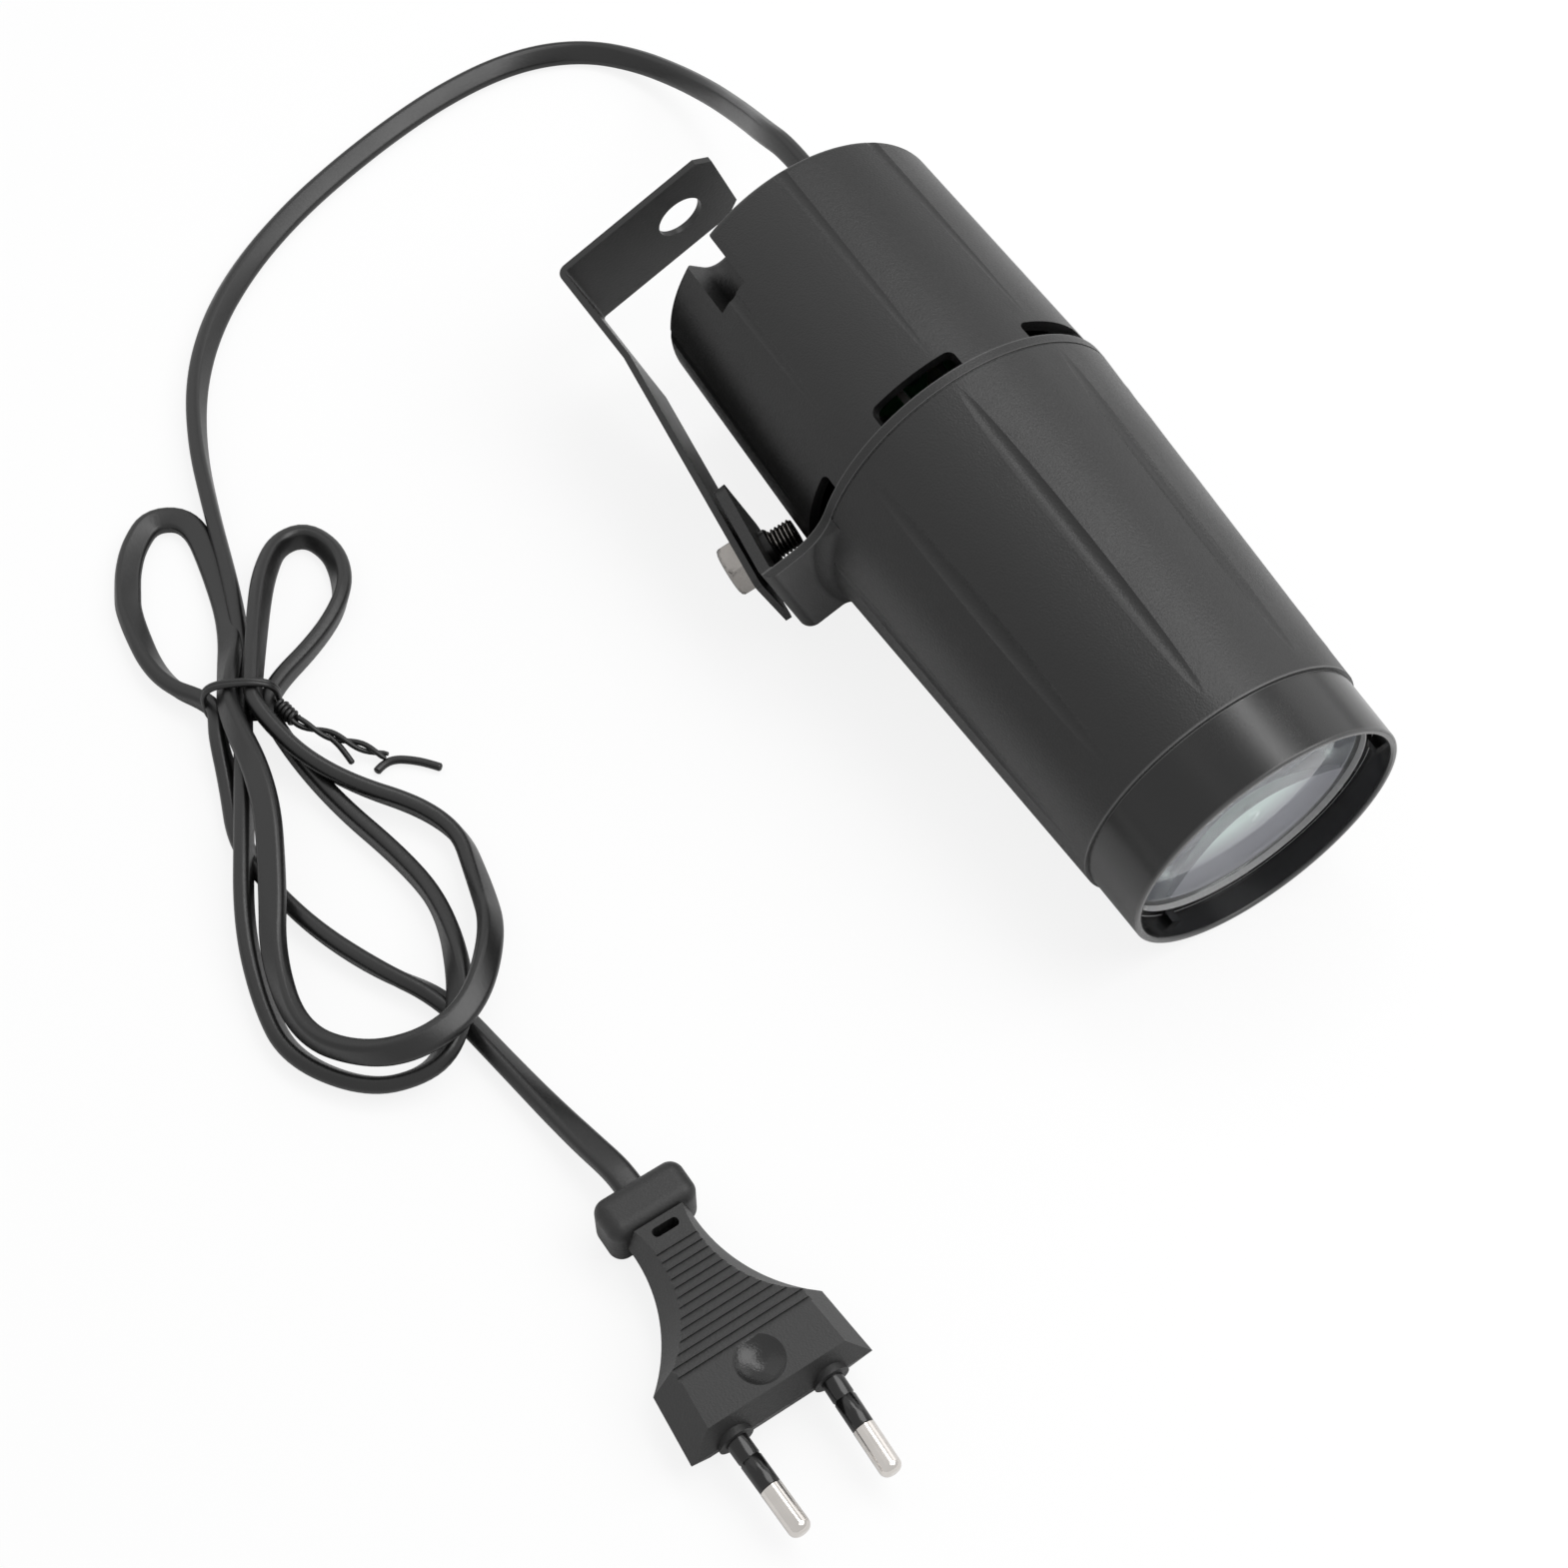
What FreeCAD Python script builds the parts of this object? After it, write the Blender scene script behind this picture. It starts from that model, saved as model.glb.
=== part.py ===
"""Pinspot light: a small spotlight on a strip bracket, with its mains lead and flat plug.

Millimetres, +Z up. The lamp lies on its side on a table, its lens towards +X.
Every lamp piece is drawn in the lamp's own frame and then laid down on the table.
In that frame X runs along the optical axis from the rear rim, and the lug points to -Y.
"""
import FreeCAD, Part
import math
import os

os.makedirs("parts", exist_ok=True)

# Where the lamp lies on the table
lamp_rear_x = -64.66
lamp_axis_y = 6.66
lug_drop = 22.6             # degrees the lug hangs below the horizontal

# Housing outline, along the axis and across it
body_length = 152.7
joint_s = 58.0              # rear edge of the front shell
bezel_length = 13.8
joint_radius = 32.2
rear_taper = 1.4            # how much smaller the rear shell is at its rear end
shell_step = 0.7            # how far the front shell stands proud of the rear one
front_taper = 3.9           # how much smaller the front shell is at the bezel
bezel_step = 0.6
bezel_taper = 0.4
land_groove_width = 0.5     # the fine groove in front of the joint's land
land_groove_depth = 0.35
wall = 2.0
rear_wall = 2.4
rear_rounding = 1.6
fit_gap = 0.15              # between parts that slide together
seat_gap = 0.1              # between faces that are clamped together
overrun = 1.0               # how far every cutter passes the face it cuts
spigot_length = 6.0
spigot_step = 1.35          # how far the spigot lies inside the rear shell's outside
touch_share = 0.01          # of the wall, within which two places count as one

# Flutes down both shells
flute_count = 9
flute_first = 0.0           # degrees, the first flute from the lug's opposite side
front_flute_margin = 3.45   # from either end of the front shell to a flute's tip
front_flute_depth = 0.7
front_flute_cutter = 3.0
flute_station_shares = (-0.1, 0.1, 0.3, 0.5, 0.7, 0.9, 1.1)
rear_flute_margin = 5.0     # from a flute's tip to the joint
rear_flute_depth = 0.55
rear_flute_cutter = 2.4

# Cooling slots round the joint
slot_count = 6
slot_first = 30.0           # degrees, the first slot from the lug's opposite side
slot_angle = 33.0           # degrees of arc that each slot covers
slot_length = 4.3           # the open part behind the front shell
slot_hidden = 1.5           # the part under the front shell
slot_rounding = 1.6

# Screw pockets in the rear shell and the posts they pull on
pocket_count = 3
pocket_length = 14.0
pocket_radius = 3.9
pocket_wall = 1.6
screw_inset = 6.7           # from the joint's radius in to the screws
post_radius = 2.8
screw_head_radius = 2.5
screw_head_height = 2.6
screw_radius = 1.4
screw_length = 12.0
screw_drive_radius = 1.1
screw_drive_depth = 0.9

# Lug and ear on the front shell
pivot_back = 12.36          # from the joint back to the pivot
pivot_reach = 11.64         # from the joint's radius out to the bracket's outer face
pivot_slant = 6.66          # degrees the ear closes towards the rear
lug_above = 15.0            # lug's edges from the plane through the axis and the pivot
lug_below = 10.8
lug_wall = 2.0              # also the width of the land round the joint
lug_corner = 2.8
lug_root_above = 12.0       # roundings where the lug's edges run out into the joint
lug_root_below = 4.0
lug_gusset = 3.5            # hollow rounding between the lug's front face and the cone
ear_wall = 2.2
ear_length = 22.0
ear_corner = 4.0

# Pivot bolt, the threaded insert in the ear and the friction washer
bolt_radius = 3.0
bolt_hole_radius = 3.2
bolt_length = 11.4
bolt_chamfer = 0.5
hex_across = 10.0
hex_height = 4.0
hex_corners = 6
hex_crown_share = 0.5       # of the head's height, over which its corners are crowned
hex_flare_share = 2.0       # how fast the crown widens for each step down the head
insert_radius = 3.8
insert_proud = 1.6
insert_chamfer = 0.4
washer_radius = 6.0
washer_height = 0.9

# Bracket strip
strip_width = 24.1
strip_thick = 1.3
strip_tilt = 6.0            # degrees the strip is turned on its pivot
strip_front = 10.25         # pivot to the free end
strip_arm = 44.7            # pivot to the slight bend
strip_kick = 24.0           # slight bend to the foot's corner
kick_angle = 7.6            # degrees
foot_length = 37.2
foot_hole_radius = 5.0
foot_hole_at = 25.9
foot_chamfer = 3.0
bend_radius = 2.0
strip_corner = 1.5

# Front bezel, lens and its rings
bezel_lip = 1.4             # bezel's wall at its rim
bezel_spigot_length = 8.0
bezel_spigot_wall = 2.4
bezel_rounding = 0.5
lens_recess = 10.1          # from the front rim back to the lens seat
lens_play = 0.3             # between the lens and the bezel's bore
lens_edge = 2.4
lens_front_rise = 1.8
lens_back_rise = 3.0
lens_flat = 2.1             # flat band round the back crown
gasket_height = 0.9
ring_height = 1.1
ring_cover = 1.6            # how far the snap ring reaches in over the lens
ring_groove = 0.45
ring_gap_angle = 14.0       # degrees that the open snap ring leaves
tab_size = 2.4
tab_depth = 1.1
tab_turns = (215.0, 346.5)  # degrees from the lug's opposite side

# Heat sink, light source and first lens
sink_base = 2.9
sink_shoulder = 3.0
sink_shoulder_width = 4.05
sink_core_radius = 5.0
fin_count = 15
fin_clearance = 1.2         # between the fins and the screw posts
fin_thick = 1.3
fin_length = 18.0
board_radius = 15.5
board_thick = 1.6
board_screw_inset = 2.7
board_screw_radius = 1.2
board_screw_head = 2.1
board_screw_head_height = 1.3
board_screw_length = 3.6
emitter_size = 5.0
emitter_height = 0.8
dome_radius = 1.9
optic_rear_radius = 3.4
optic_front_radius = 8.0
optic_height = 9.0
optic_brim = 1.2
optic_brim_radius = 9.0
holder_radius = 10.3
holder_wall = 1.0

# Driver board and what is on it
driver_start = 10.0
driver_length = 27.0
driver_inset = 5.8          # from the rear shell's radius to the board's edge
driver_thick = 1.6
driver_drop = 9.0           # board's underside below the axis
rail_grip = 1.6
rail_height = 4.2
transformer_size = (15.0, 14.0, 11.5)
transformer_bobbin = 2.0
capacitor_radii = (3.15, 3.15, 2.0)
capacitor_rounding_share = 0.12
capacitor_heights = (11.5, 11.5, 9.0)
bridge_size = (6.5, 9.0, 3.2)

# Cord gland in the rear wall
gland_offset = 14.0         # from the axis, level with it on the side away from the lug
gland_flange_radius = 6.2
gland_flange = 1.6
gland_neck_radius = 4.6
gland_boot_length = 18.0
gland_boot_root = 4.4
gland_boot_tip = 3.1
gland_rib_count = 4
gland_rib_depth = 0.5
gland_first_rib_share = 1.5 # of the ribs' pitch, from the flange to the first groove
gland_hollow_share = 0.5    # of the boot's length that is drawn as bonded to the cord

# Inner wires
wire_radius = 0.8
wire_sides_gap = 2.4

# Mains lead
cord_radius = 2.0
cord_gap = 0.45             # least gap that the bundle is laid out with
table_gap = 0.1
run_share = 0.45
straight_share = 0.0002     # of half a chord, below which an arc is drawn as a line
apart_share = 8.0           # in cord radii along the cord, where its gap to itself starts to count
lead_in_share = 0.8         # of the tie's pass, straight before and after it
lead_out_share = 0.6
layer_step = 2 * cord_radius + cord_gap
pass_spread = 0.3           # extra room between passes side by side in the tie
floor_z = cord_radius + table_gap

# Twist tie round the bundle
tie_x = -49.6
tie_y = -128.4
tie_heading = -27.0         # degrees, the way the bundle runs through the tie
tie_half_pass = 3.2
tie_loop_root = 5.0         # from the tie to where the loops spread
tie_band = 2.2
tie_thick = 0.8
tie_play = 0.35
tie_wire_radius = 0.8

# Plug, seen from above with its pins forward
plug_face_x = 123.6
plug_face_y = -115.5
plug_heading = 1.7          # degrees
plug_width = 35.3
plug_height = 13.7
plug_top_width = 26.4
plug_block = 13.2           # the full-width stretch behind the face
plug_flare_share = 0.94     # of the face's width, at the block's rear end
plug_face_bevel = 1.7
plug_neck_width = 12.4
plug_neck_top_width = 8.6
plug_waist_width = 21.4
plug_waist_share = 0.28     # of the way from the block to the collar
plug_length = 46.0
plug_boss_radius = 3.3      # round the pins' roots
plug_boss_proud = 0.5
collar_length = 8.5
collar_width = 17.2
collar_height = 11.6
collar_rounding = 2.6
plug_rib_count = 13
plug_rib_overlap = 2.2      # how far the ribs reach over the block
plug_rib_margin = 4.5       # from the last rib to the collar
plug_rib_depth = 0.5
plug_rib_share = 0.5
plug_slot_back = 2.3        # from the collar to the slot's middle
plug_slot_width = 5.0
plug_slot_length = 1.8
plug_slot_rounding_share = 0.9   # of half the slot's length
dimple_radius = 4.4
dimple_depth = 1.5
dimple_at = 6.8
pin_radius = 2.0
pin_length = 19.0
pin_base_pitch = 18.6
pin_tip_pitch = 17.5
sleeve_length = 10.0
pin_core_radius = 1.5
pin_socket = 3.0
pin_play = 0.03
pin_rounding_share = 0.7    # of the pin's radius
pin_far_share = 0.9         # of the pin's length, past which only its tip lies
sleeve_ring_at = 5.0
sleeve_ring_depth = 0.15
sleeve_ring_width = 0.5

# The lead from the gland to the bundle, points chosen by hand
lead_route = (
    (-102.4, 22.9, 33.4), (-114.2, 26.2, 26.2), (-125.8, 28.5, 19.2), (-137.6, 29.2, 12.4), (-149.6, 27.6, 6.8),
    (-160.8, 23.6, 3.4), (-169.6, 16.8, floor_z), (-175.6, 7.8, floor_z), (-178.4, -3.6, floor_z),
    (-177.4, -17.8, floor_z), (-174.1, -32.1, floor_z), (-168.9, -47.2, floor_z), (-162.6, -62.0, floor_z),
    (-153.9, -77.2, floor_z), (-142.8, -90.2, floor_z), (-129.0, -100.0, floor_z), (-113.2, -106.9, floor_z),
    (-97.0, -111.0, floor_z), (-81.2, -114.7, floor_z), (-67.8, -117.9, floor_z))

# The tail from the bundle to the plug, points chosen by hand
tail_route = (
    (-34.6, -140.4, floor_z), (-23.6, -143.2, floor_z), (-10.8, -142.2, floor_z), (1.6, -138.2, floor_z),
    (14.4, -131.9, floor_z), (28.0, -126.6, floor_z), (42.8, -121.6, 2.2), (56.4, -118.8, 3.9),
    (67.2, -117.4, 6.0))

# The tie's twisted ends, from the band to their tip
tie_route = (
    (-43.4, -120.6, 7.0), (-38.9, -118.0, 4.4), (-33.3, -116.5, 2.4), (-27.5, -114.9, 1.2), (-23.3, -110.1, 1.0),
    (-20.5, -103.9, 1.0))

# Worked out from the sizes above
seam_s = body_length - bezel_length
lens_seat_s = body_length - lens_recess
rear_radius = joint_radius - rear_taper
spigot_radius = joint_radius - spigot_step
shell_rear_radius = joint_radius + shell_step
front_radius = shell_rear_radius - front_taper
bezel_rear_radius = front_radius - bezel_step
bezel_rim_radius = bezel_rear_radius - bezel_taper
bezel_bore = bezel_rim_radius - bezel_lip
lens_radius = bezel_bore - lens_play
lens_back_rim = lens_radius - lens_flat
ring_inner_radius = bezel_bore - ring_cover
screw_circle = joint_radius - screw_inset
sink_shoulder_radius = spigot_radius - sink_shoulder_width
fin_radius = screw_circle - post_radius - fin_clearance
board_screw_circle = board_radius - board_screw_inset
driver_half_width = rear_radius - driver_inset
pivot_s = joint_s - pivot_back
pivot_r = joint_radius + pivot_reach
ear_rear_s = joint_s - ear_length
land_end = joint_s + lug_wall
land_radius = shell_rear_radius - front_taper * lug_wall / (seam_s - joint_s)
plug_neck_at = plug_length - collar_length
plug_waist_at = plug_block + plug_waist_share * (plug_neck_at - plug_block)
plug_rib_start = plug_block - plug_rib_overlap
plug_rib_end = plug_neck_at - plug_rib_margin
plug_slot_at = plug_neck_at - plug_slot_back
spigot_end = joint_s + spigot_length
base_front = spigot_end + seat_gap + sink_base
shoulder_s = base_front + seat_gap
tilt = math.atan((shell_rear_radius - front_radius) / (seam_s - joint_s))
lamp_rear_z = seam_s * math.sin(tilt) + front_radius * math.cos(tilt)
ear_depth = strip_thick + washer_height + 2 * seat_gap
plug_mid_z = plug_height / 2

NOWHERE = FreeCAD.Vector(0, 0, 0)
ALONG = FreeCAD.Vector(1, 0, 0)
ACROSS = FreeCAD.Vector(0, 1, 0)
UP = FreeCAD.Vector(0, 0, 1)


def vec(x, y, z=0):
    return FreeCAD.Vector(x, y, z)


def spoke(radius, degrees):
    """A point at a radius and an angle round the lamp's axis; the lug lies at 180 degrees."""
    angle = math.radians(degrees)
    return vec(0, radius * math.cos(angle), radius * math.sin(angle))


def spread(count, first):
    return [first + 360 * index / count for index in range(count)]


def flat(points):
    """A face in the XY plane from its corner points."""
    corners = [vec(x, y) for x, y in points]
    return Part.Face(Part.makePolygon(corners + corners[:1]))


def turned(points):
    """A solid of revolution about X from points given as (along, radius)."""
    return flat(points).revolve(NOWHERE, ALONG, 360)


def rod(radius, start, length, direction=ALONG):
    return Part.makeCylinder(radius, length, start, direction)


def block(size, centre):
    """A box of the given size round its centre."""
    length, width, height = size
    corner = centre - vec(length / 2, width / 2, height / 2)
    return Part.makeBox(length, width, height, corner)


def joined(shape, others):
    return shape.fuse(others).removeSplitter()


def edges_where(shape, wanted):
    return [edge for edge in shape.Edges if wanted(edge)]


def at_ends(edge, test):
    return all(test(vertex.Point) for vertex in edge.Vertexes)


def near(value, target):
    return abs(value - target) < wall * touch_share


def across_axis(point):
    return math.hypot(point.y, point.z)


def lay_down(shape):
    """Put a piece from the lamp's frame on the table."""
    shape = shape.copy()
    shape.rotate(NOWHERE, ALONG, lug_drop)
    shape.rotate(NOWHERE, ACROSS, math.degrees(tilt))
    shape.translate(vec(lamp_rear_x, lamp_axis_y, lamp_rear_z))
    return shape


def on_pivot(shape):
    """Put a piece drawn round the pivot, outer side towards -Y, in the lamp's frame."""
    shape = shape.copy()
    shape.rotate(NOWHERE, UP, -pivot_slant)
    shape.translate(vec(pivot_s, -pivot_r, 0))
    return shape


def swung(shape):
    """Turn a bracket piece on its pivot to where the photograph has it."""
    shape = shape.copy()
    shape.rotate(NOWHERE, ACROSS, strip_tilt)
    return shape


def hexagon(across, height, base):
    """A hexagonal prism with crowned corners, its flats at the given size."""
    corner_radius = across / math.sqrt(3)
    corners = [vec(corner_radius * math.cos(math.radians(turn)), 0, corner_radius * math.sin(math.radians(turn)))
               for turn in spread(hex_corners, 180 / hex_corners)]
    face = Part.Face(Part.makePolygon(corners + corners[:1]))
    prism = face.extrude(ACROSS * height)
    cone_reach = height * hex_crown_share
    crown = Part.makeCone(across / 2, across / 2 + cone_reach * hex_flare_share, cone_reach, NOWHERE, ACROSS)
    crown = crown.fuse(rod(across, vec(0, cone_reach, 0), height, ACROSS))
    prism = prism.common(crown)
    prism.translate(base)
    return prism


def ear_r(s, depth):
    """Distance from the axis of the plane that lies a depth inside the bracket's outer face."""
    slope = math.radians(pivot_slant)
    return pivot_r + (s - pivot_s) * math.tan(slope) - depth / math.cos(slope)


def shell_radius(s):
    """Outer radius of the front shell at a station."""
    share = (s - joint_s) / (seam_s - joint_s)
    return shell_rear_radius + share * (front_radius - shell_rear_radius)


def root_turn(edge_height, rounding):
    """Angle from the lug's middle to where a lug edge has run out into the joint's round land."""
    return math.degrees(math.asin((edge_height + rounding) / (land_radius + rounding)))


def lug():
    """The wall that stands out from the joint, with the ear that the bracket is bolted to."""
    depth_in = ear_depth + ear_wall
    root = joint_radius - 2 * wall
    outline = [(ear_rear_s, -ear_r(ear_rear_s, depth_in)), (ear_rear_s, -ear_r(ear_rear_s, ear_depth)),
               (land_end, -ear_r(land_end, ear_depth)), (land_end, -root), (joint_s, -root),
               (joint_s, -ear_r(joint_s, depth_in))]
    body = flat(outline).extrude(UP * (lug_above + lug_below))
    body.translate(UP * -lug_below)
    outer = edges_where(body, lambda e: at_ends(e, lambda p: near(p.x, land_end) and near(p.y, outline[2][1])))
    body = body.makeFillet(lug_corner, outer)
    inner = edges_where(body, lambda e: at_ends(e, lambda p: near(p.x, joint_s) and near(p.y, outline[5][1])))
    body = body.makeFillet(lug_corner - ear_wall, inner)
    rear = [edge for edge in body.Edges if at_ends(edge, lambda p: near(p.x, ear_rear_s))
            and near(edge.Vertexes[0].Point.z, edge.Vertexes[1].Point.z)]
    return body.makeFillet(ear_corner, rear)


def joint_plate():
    """The joint's land and the lug in one plate, their outlines running into each other in a long curve."""
    plate = joined(rod(land_radius, vec(joint_s, 0, 0), lug_wall), [lug()])
    for height, rounding in ((lug_above, lug_root_above), (-lug_below, lug_root_below)):
        corner = edges_where(plate, lambda e: at_ends(e, lambda p: near(p.z, height) and p.y < 0
                                                      and near(across_axis(p), land_radius)))
        plate = plate.makeFillet(rounding, corner)
    return plate


def gusset(plate):
    """Hollow rounding in the corner between the lug's front face and the cone."""
    foot_s = land_end + lug_gusset
    foot_r = shell_radius(foot_s)
    centre = vec(foot_s, foot_r + lug_gusset)
    lean = lug_gusset / math.sqrt(2)
    hollow = Part.Arc(vec(foot_s, foot_r), centre - vec(lean, lean), vec(land_end, centre.y))
    low = foot_r - wall / 2
    sides = [Part.LineSegment(vec(land_end, centre.y), vec(land_end, low)),
             Part.LineSegment(vec(land_end, low), vec(foot_s, low)),
             Part.LineSegment(vec(foot_s, low), vec(foot_s, foot_r))]
    section = Part.Face(Part.Wire([edge.toShape() for edge in [hollow] + sides]))
    above = root_turn(lug_above, lug_root_above)
    below = root_turn(lug_below, lug_root_below)
    body = section.revolve(NOWHERE, ALONG, above + below)
    body.rotate(NOWHERE, ALONG, 180 - above)
    front = [face for face in plate.Faces if near(face.BoundBox.XMin, land_end) and near(face.BoundBox.XMax, land_end)]
    outline = Part.makeFace([Part.Wire(front[0].OuterWire.Edges)], "Part::FaceMakerBullseye")
    return body.common(outline.extrude(ALONG * lug_gusset))


def land_groove():
    """Fine groove in front of the joint's land, all the way round but for the lug."""
    low = land_radius - land_groove_depth
    profile = flat([(land_end, low), (land_end, joint_radius + wall), (land_end + land_groove_width, joint_radius + wall),
                    (land_end + land_groove_width, low)])
    above = root_turn(lug_above, lug_root_above)
    below = root_turn(lug_below, lug_root_below)
    groove = profile.revolve(NOWHERE, ALONG, 360 - above - below)
    groove.rotate(NOWHERE, ALONG, 180 + below)
    return groove


def flute_front(turn):
    """A shallow groove with pointed ends, deepest halfway down the cone."""
    start = joint_s + front_flute_margin
    length = seam_s - front_flute_margin - start
    rings = []
    for share in flute_station_shares:
        s = start + share * length
        depth = 4 * front_flute_depth * share * (1 - share)
        centre = vec(s, shell_radius(s) - depth + front_flute_cutter)
        rings.append(Part.Wire(Part.makeCircle(front_flute_cutter, centre, ALONG)))
    cutter = Part.makeLoft(rings, True)
    cutter.rotate(NOWHERE, ALONG, turn)
    return cutter


def flute_rear(turn):
    """A groove that starts open at the rear rim and runs out to a point."""
    slope = (joint_radius - rear_radius) / joint_s
    length = joint_s - rear_flute_margin
    end_radius = rear_radius + slope * length + rear_flute_cutter
    start = vec(0, rear_radius - rear_flute_depth + rear_flute_cutter, 0)
    run = vec(length, end_radius, 0) - start
    back = run * (overrun / run.Length)
    cutter = rod(rear_flute_cutter, start - back, run.Length + back.Length, run)
    cutter.rotate(NOWHERE, ALONG, turn)
    return cutter


def front_shell():
    """Main front housing: cone, lug and ear, heat sink shoulder and screw posts."""
    body = turned([(land_end, 0), (land_end, shell_radius(land_end)), (seam_s, front_radius), (seam_s, 0)])
    for turn in spread(flute_count, flute_first):
        body = body.cut(flute_front(turn))
    plate = joint_plate()
    body = joined(body, [plate, gusset(plate)]).cut(land_groove())
    bore = turned([
        (joint_s - overrun, 0), (joint_s - overrun, spigot_radius + fit_gap), (shoulder_s, spigot_radius + fit_gap),
        (shoulder_s, sink_shoulder_radius), (shoulder_s + sink_shoulder, sink_shoulder_radius),
        (shoulder_s + sink_shoulder, shell_radius(shoulder_s + sink_shoulder) - wall),
        (seam_s + overrun, front_radius - wall), (seam_s + overrun, 0)])
    body = body.cut(bore)
    hole = rod(insert_radius + fit_gap, NOWHERE, pivot_r / 3, ACROSS)
    body = body.cut(on_pivot(hole))
    post_start = pocket_length + pocket_wall + seat_gap
    posts = []
    for turn in spread(pocket_count, 0):
        foot = spoke(screw_circle, turn) + ALONG * post_start
        post = rod(post_radius, foot, shoulder_s + sink_shoulder - post_start)
        posts.append(post.cut(rod(screw_radius + seat_gap, foot - ALONG * overrun, screw_length + overrun)))
    return joined(body, posts)


def pocket(radius, length, start):
    """A trough along the axis that is round at its bottom and open outwards."""
    groove = rod(radius, vec(start, screw_circle, 0), length)
    mouth = Part.makeBox(length, joint_radius, 2 * radius, vec(start, screw_circle, -radius))
    return groove.fuse(mouth)


def slot(turn):
    """One cooling slot, cut through the rear shell beside the joint."""
    start = joint_s - slot_length
    length = slot_length + slot_hidden
    inner = joint_radius - 3 * wall
    profile = flat([(start, inner), (start + length, inner), (start + length, joint_radius + wall),
                    (start, joint_radius + wall)])
    cutter = profile.revolve(NOWHERE, ALONG, slot_angle)
    corners = edges_where(cutter, lambda e: at_ends(e, lambda p: near(p.x, start)) and e.Length < 5 * wall)
    cutter = cutter.makeFillet(slot_rounding, corners)
    cutter.rotate(NOWHERE, ALONG, turn - slot_angle / 2)
    return cutter


def gland_centre():
    """Where the cord passes the rear wall, level with the axis on the table."""
    return spoke(gland_offset, -lug_drop)


def rear_shell():
    """Rear cup with pockets, slots, cord hole, board rails and the spigot of the joint."""
    outer = turned([(0, 0), (0, rear_radius), (joint_s, joint_radius), (joint_s, spigot_radius),
                    (spigot_end, spigot_radius), (spigot_end, 0)])
    rim = edges_where(outer, lambda e: at_ends(e, lambda p: near(p.x, 0) and near(across_axis(p), rear_radius)))
    outer = outer.makeFillet(rear_rounding, rim)
    neck_s = joint_s - spigot_length
    body = outer.cut(turned([
        (rear_wall, 0), (rear_wall, rear_radius - wall), (neck_s, joint_radius - wall),
        (joint_s, spigot_radius - wall), (spigot_end + overrun, spigot_radius - wall), (spigot_end + overrun, 0)]))
    keep = []
    cuts = []
    for turn in spread(pocket_count, 0):
        sleeve = pocket(pocket_radius + pocket_wall, pocket_length + pocket_wall, 0)
        trough = pocket(pocket_radius, pocket_length + overrun, -overrun)
        hole = rod(screw_radius + fit_gap, vec(pocket_length - overrun, screw_circle, 0), pocket_wall + 2 * overrun)
        for shape in (sleeve, trough, hole):
            shape.rotate(NOWHERE, ALONG, turn)
        keep.append(sleeve.common(outer))
        cuts.extend([trough, hole])
    rail_centre = driver_thick / 2 - driver_drop
    for side in (-1, 1):
        rail = block((driver_start + driver_length - rear_wall / 2, 2 * joint_radius, rail_height),
                     vec((driver_start + driver_length + rear_wall / 2) / 2,
                         side * (driver_half_width - rail_grip + joint_radius), rail_centre))
        keep.append(rail.common(outer))
    body = joined(body, keep)
    board_room = driver_length + fit_gap + overrun
    cuts.append(block((board_room, 2 * (driver_half_width + fit_gap), driver_thick + 2 * seat_gap),
                      vec(driver_start - fit_gap + board_room / 2, 0, rail_centre)))
    cuts.append(rod(gland_neck_radius + fit_gap, gland_centre() - ALONG * overrun, rear_wall + 2 * overrun))
    cuts.extend(slot(turn) for turn in spread(slot_count, slot_first))
    for turn in spread(flute_count, flute_first):
        cuts.append(flute_rear(turn))
    for cutter in cuts:
        body = body.cut(cutter)
    return body


def front_bezel():
    """Retaining ring with the lens seat, the snap ring's groove and two small tabs."""
    spigot_r = front_radius - wall - fit_gap
    seat_r = spigot_r - bezel_spigot_wall
    ring_s = lens_seat_s + gasket_height + lens_edge + 2 * seat_gap
    groove_end = ring_s + ring_height + 2 * seat_gap
    body = turned([
        (seam_s + seat_gap, spigot_r), (seam_s + seat_gap, bezel_rear_radius), (body_length, bezel_rim_radius),
        (body_length, bezel_bore), (groove_end, bezel_bore), (groove_end, bezel_bore + ring_groove),
        (ring_s, bezel_bore + ring_groove), (ring_s, bezel_bore), (lens_seat_s, bezel_bore), (lens_seat_s, seat_r),
        (seam_s - bezel_spigot_length, seat_r), (seam_s - bezel_spigot_length, spigot_r)])
    rim = edges_where(body, lambda e: at_ends(e, lambda p: near(p.x, body_length)))
    body = body.makeFillet(bezel_rounding, rim)
    tabs = []
    for turn in tab_turns:
        tab = block((tab_size, tab_depth + wall / 2, tab_size),
                    vec(groove_end + seat_gap + tab_size / 2, bezel_bore + (wall / 2 - tab_depth) / 2, 0))
        tab.rotate(NOWHERE, ALONG, turn)
        tabs.append(tab)
    return joined(body, tabs)


def lens_gasket():
    inner = front_radius - wall - fit_gap - bezel_spigot_wall
    start = lens_seat_s
    end = start + gasket_height
    return turned([(start, inner), (start, lens_radius), (end, lens_radius), (end, inner)])


def crown(rim, rise, face, way):
    """Spherical cap with the given rim radius and rise, standing on a face of the lens."""
    radius = (rim ** 2 + rise ** 2) / (2 * rise)
    rim_turn = math.degrees(math.asin((radius - rise) / radius))
    return Part.makeSphere(radius, vec(face, 0, 0) + way * (rise - radius), way, rim_turn, 90)


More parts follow.
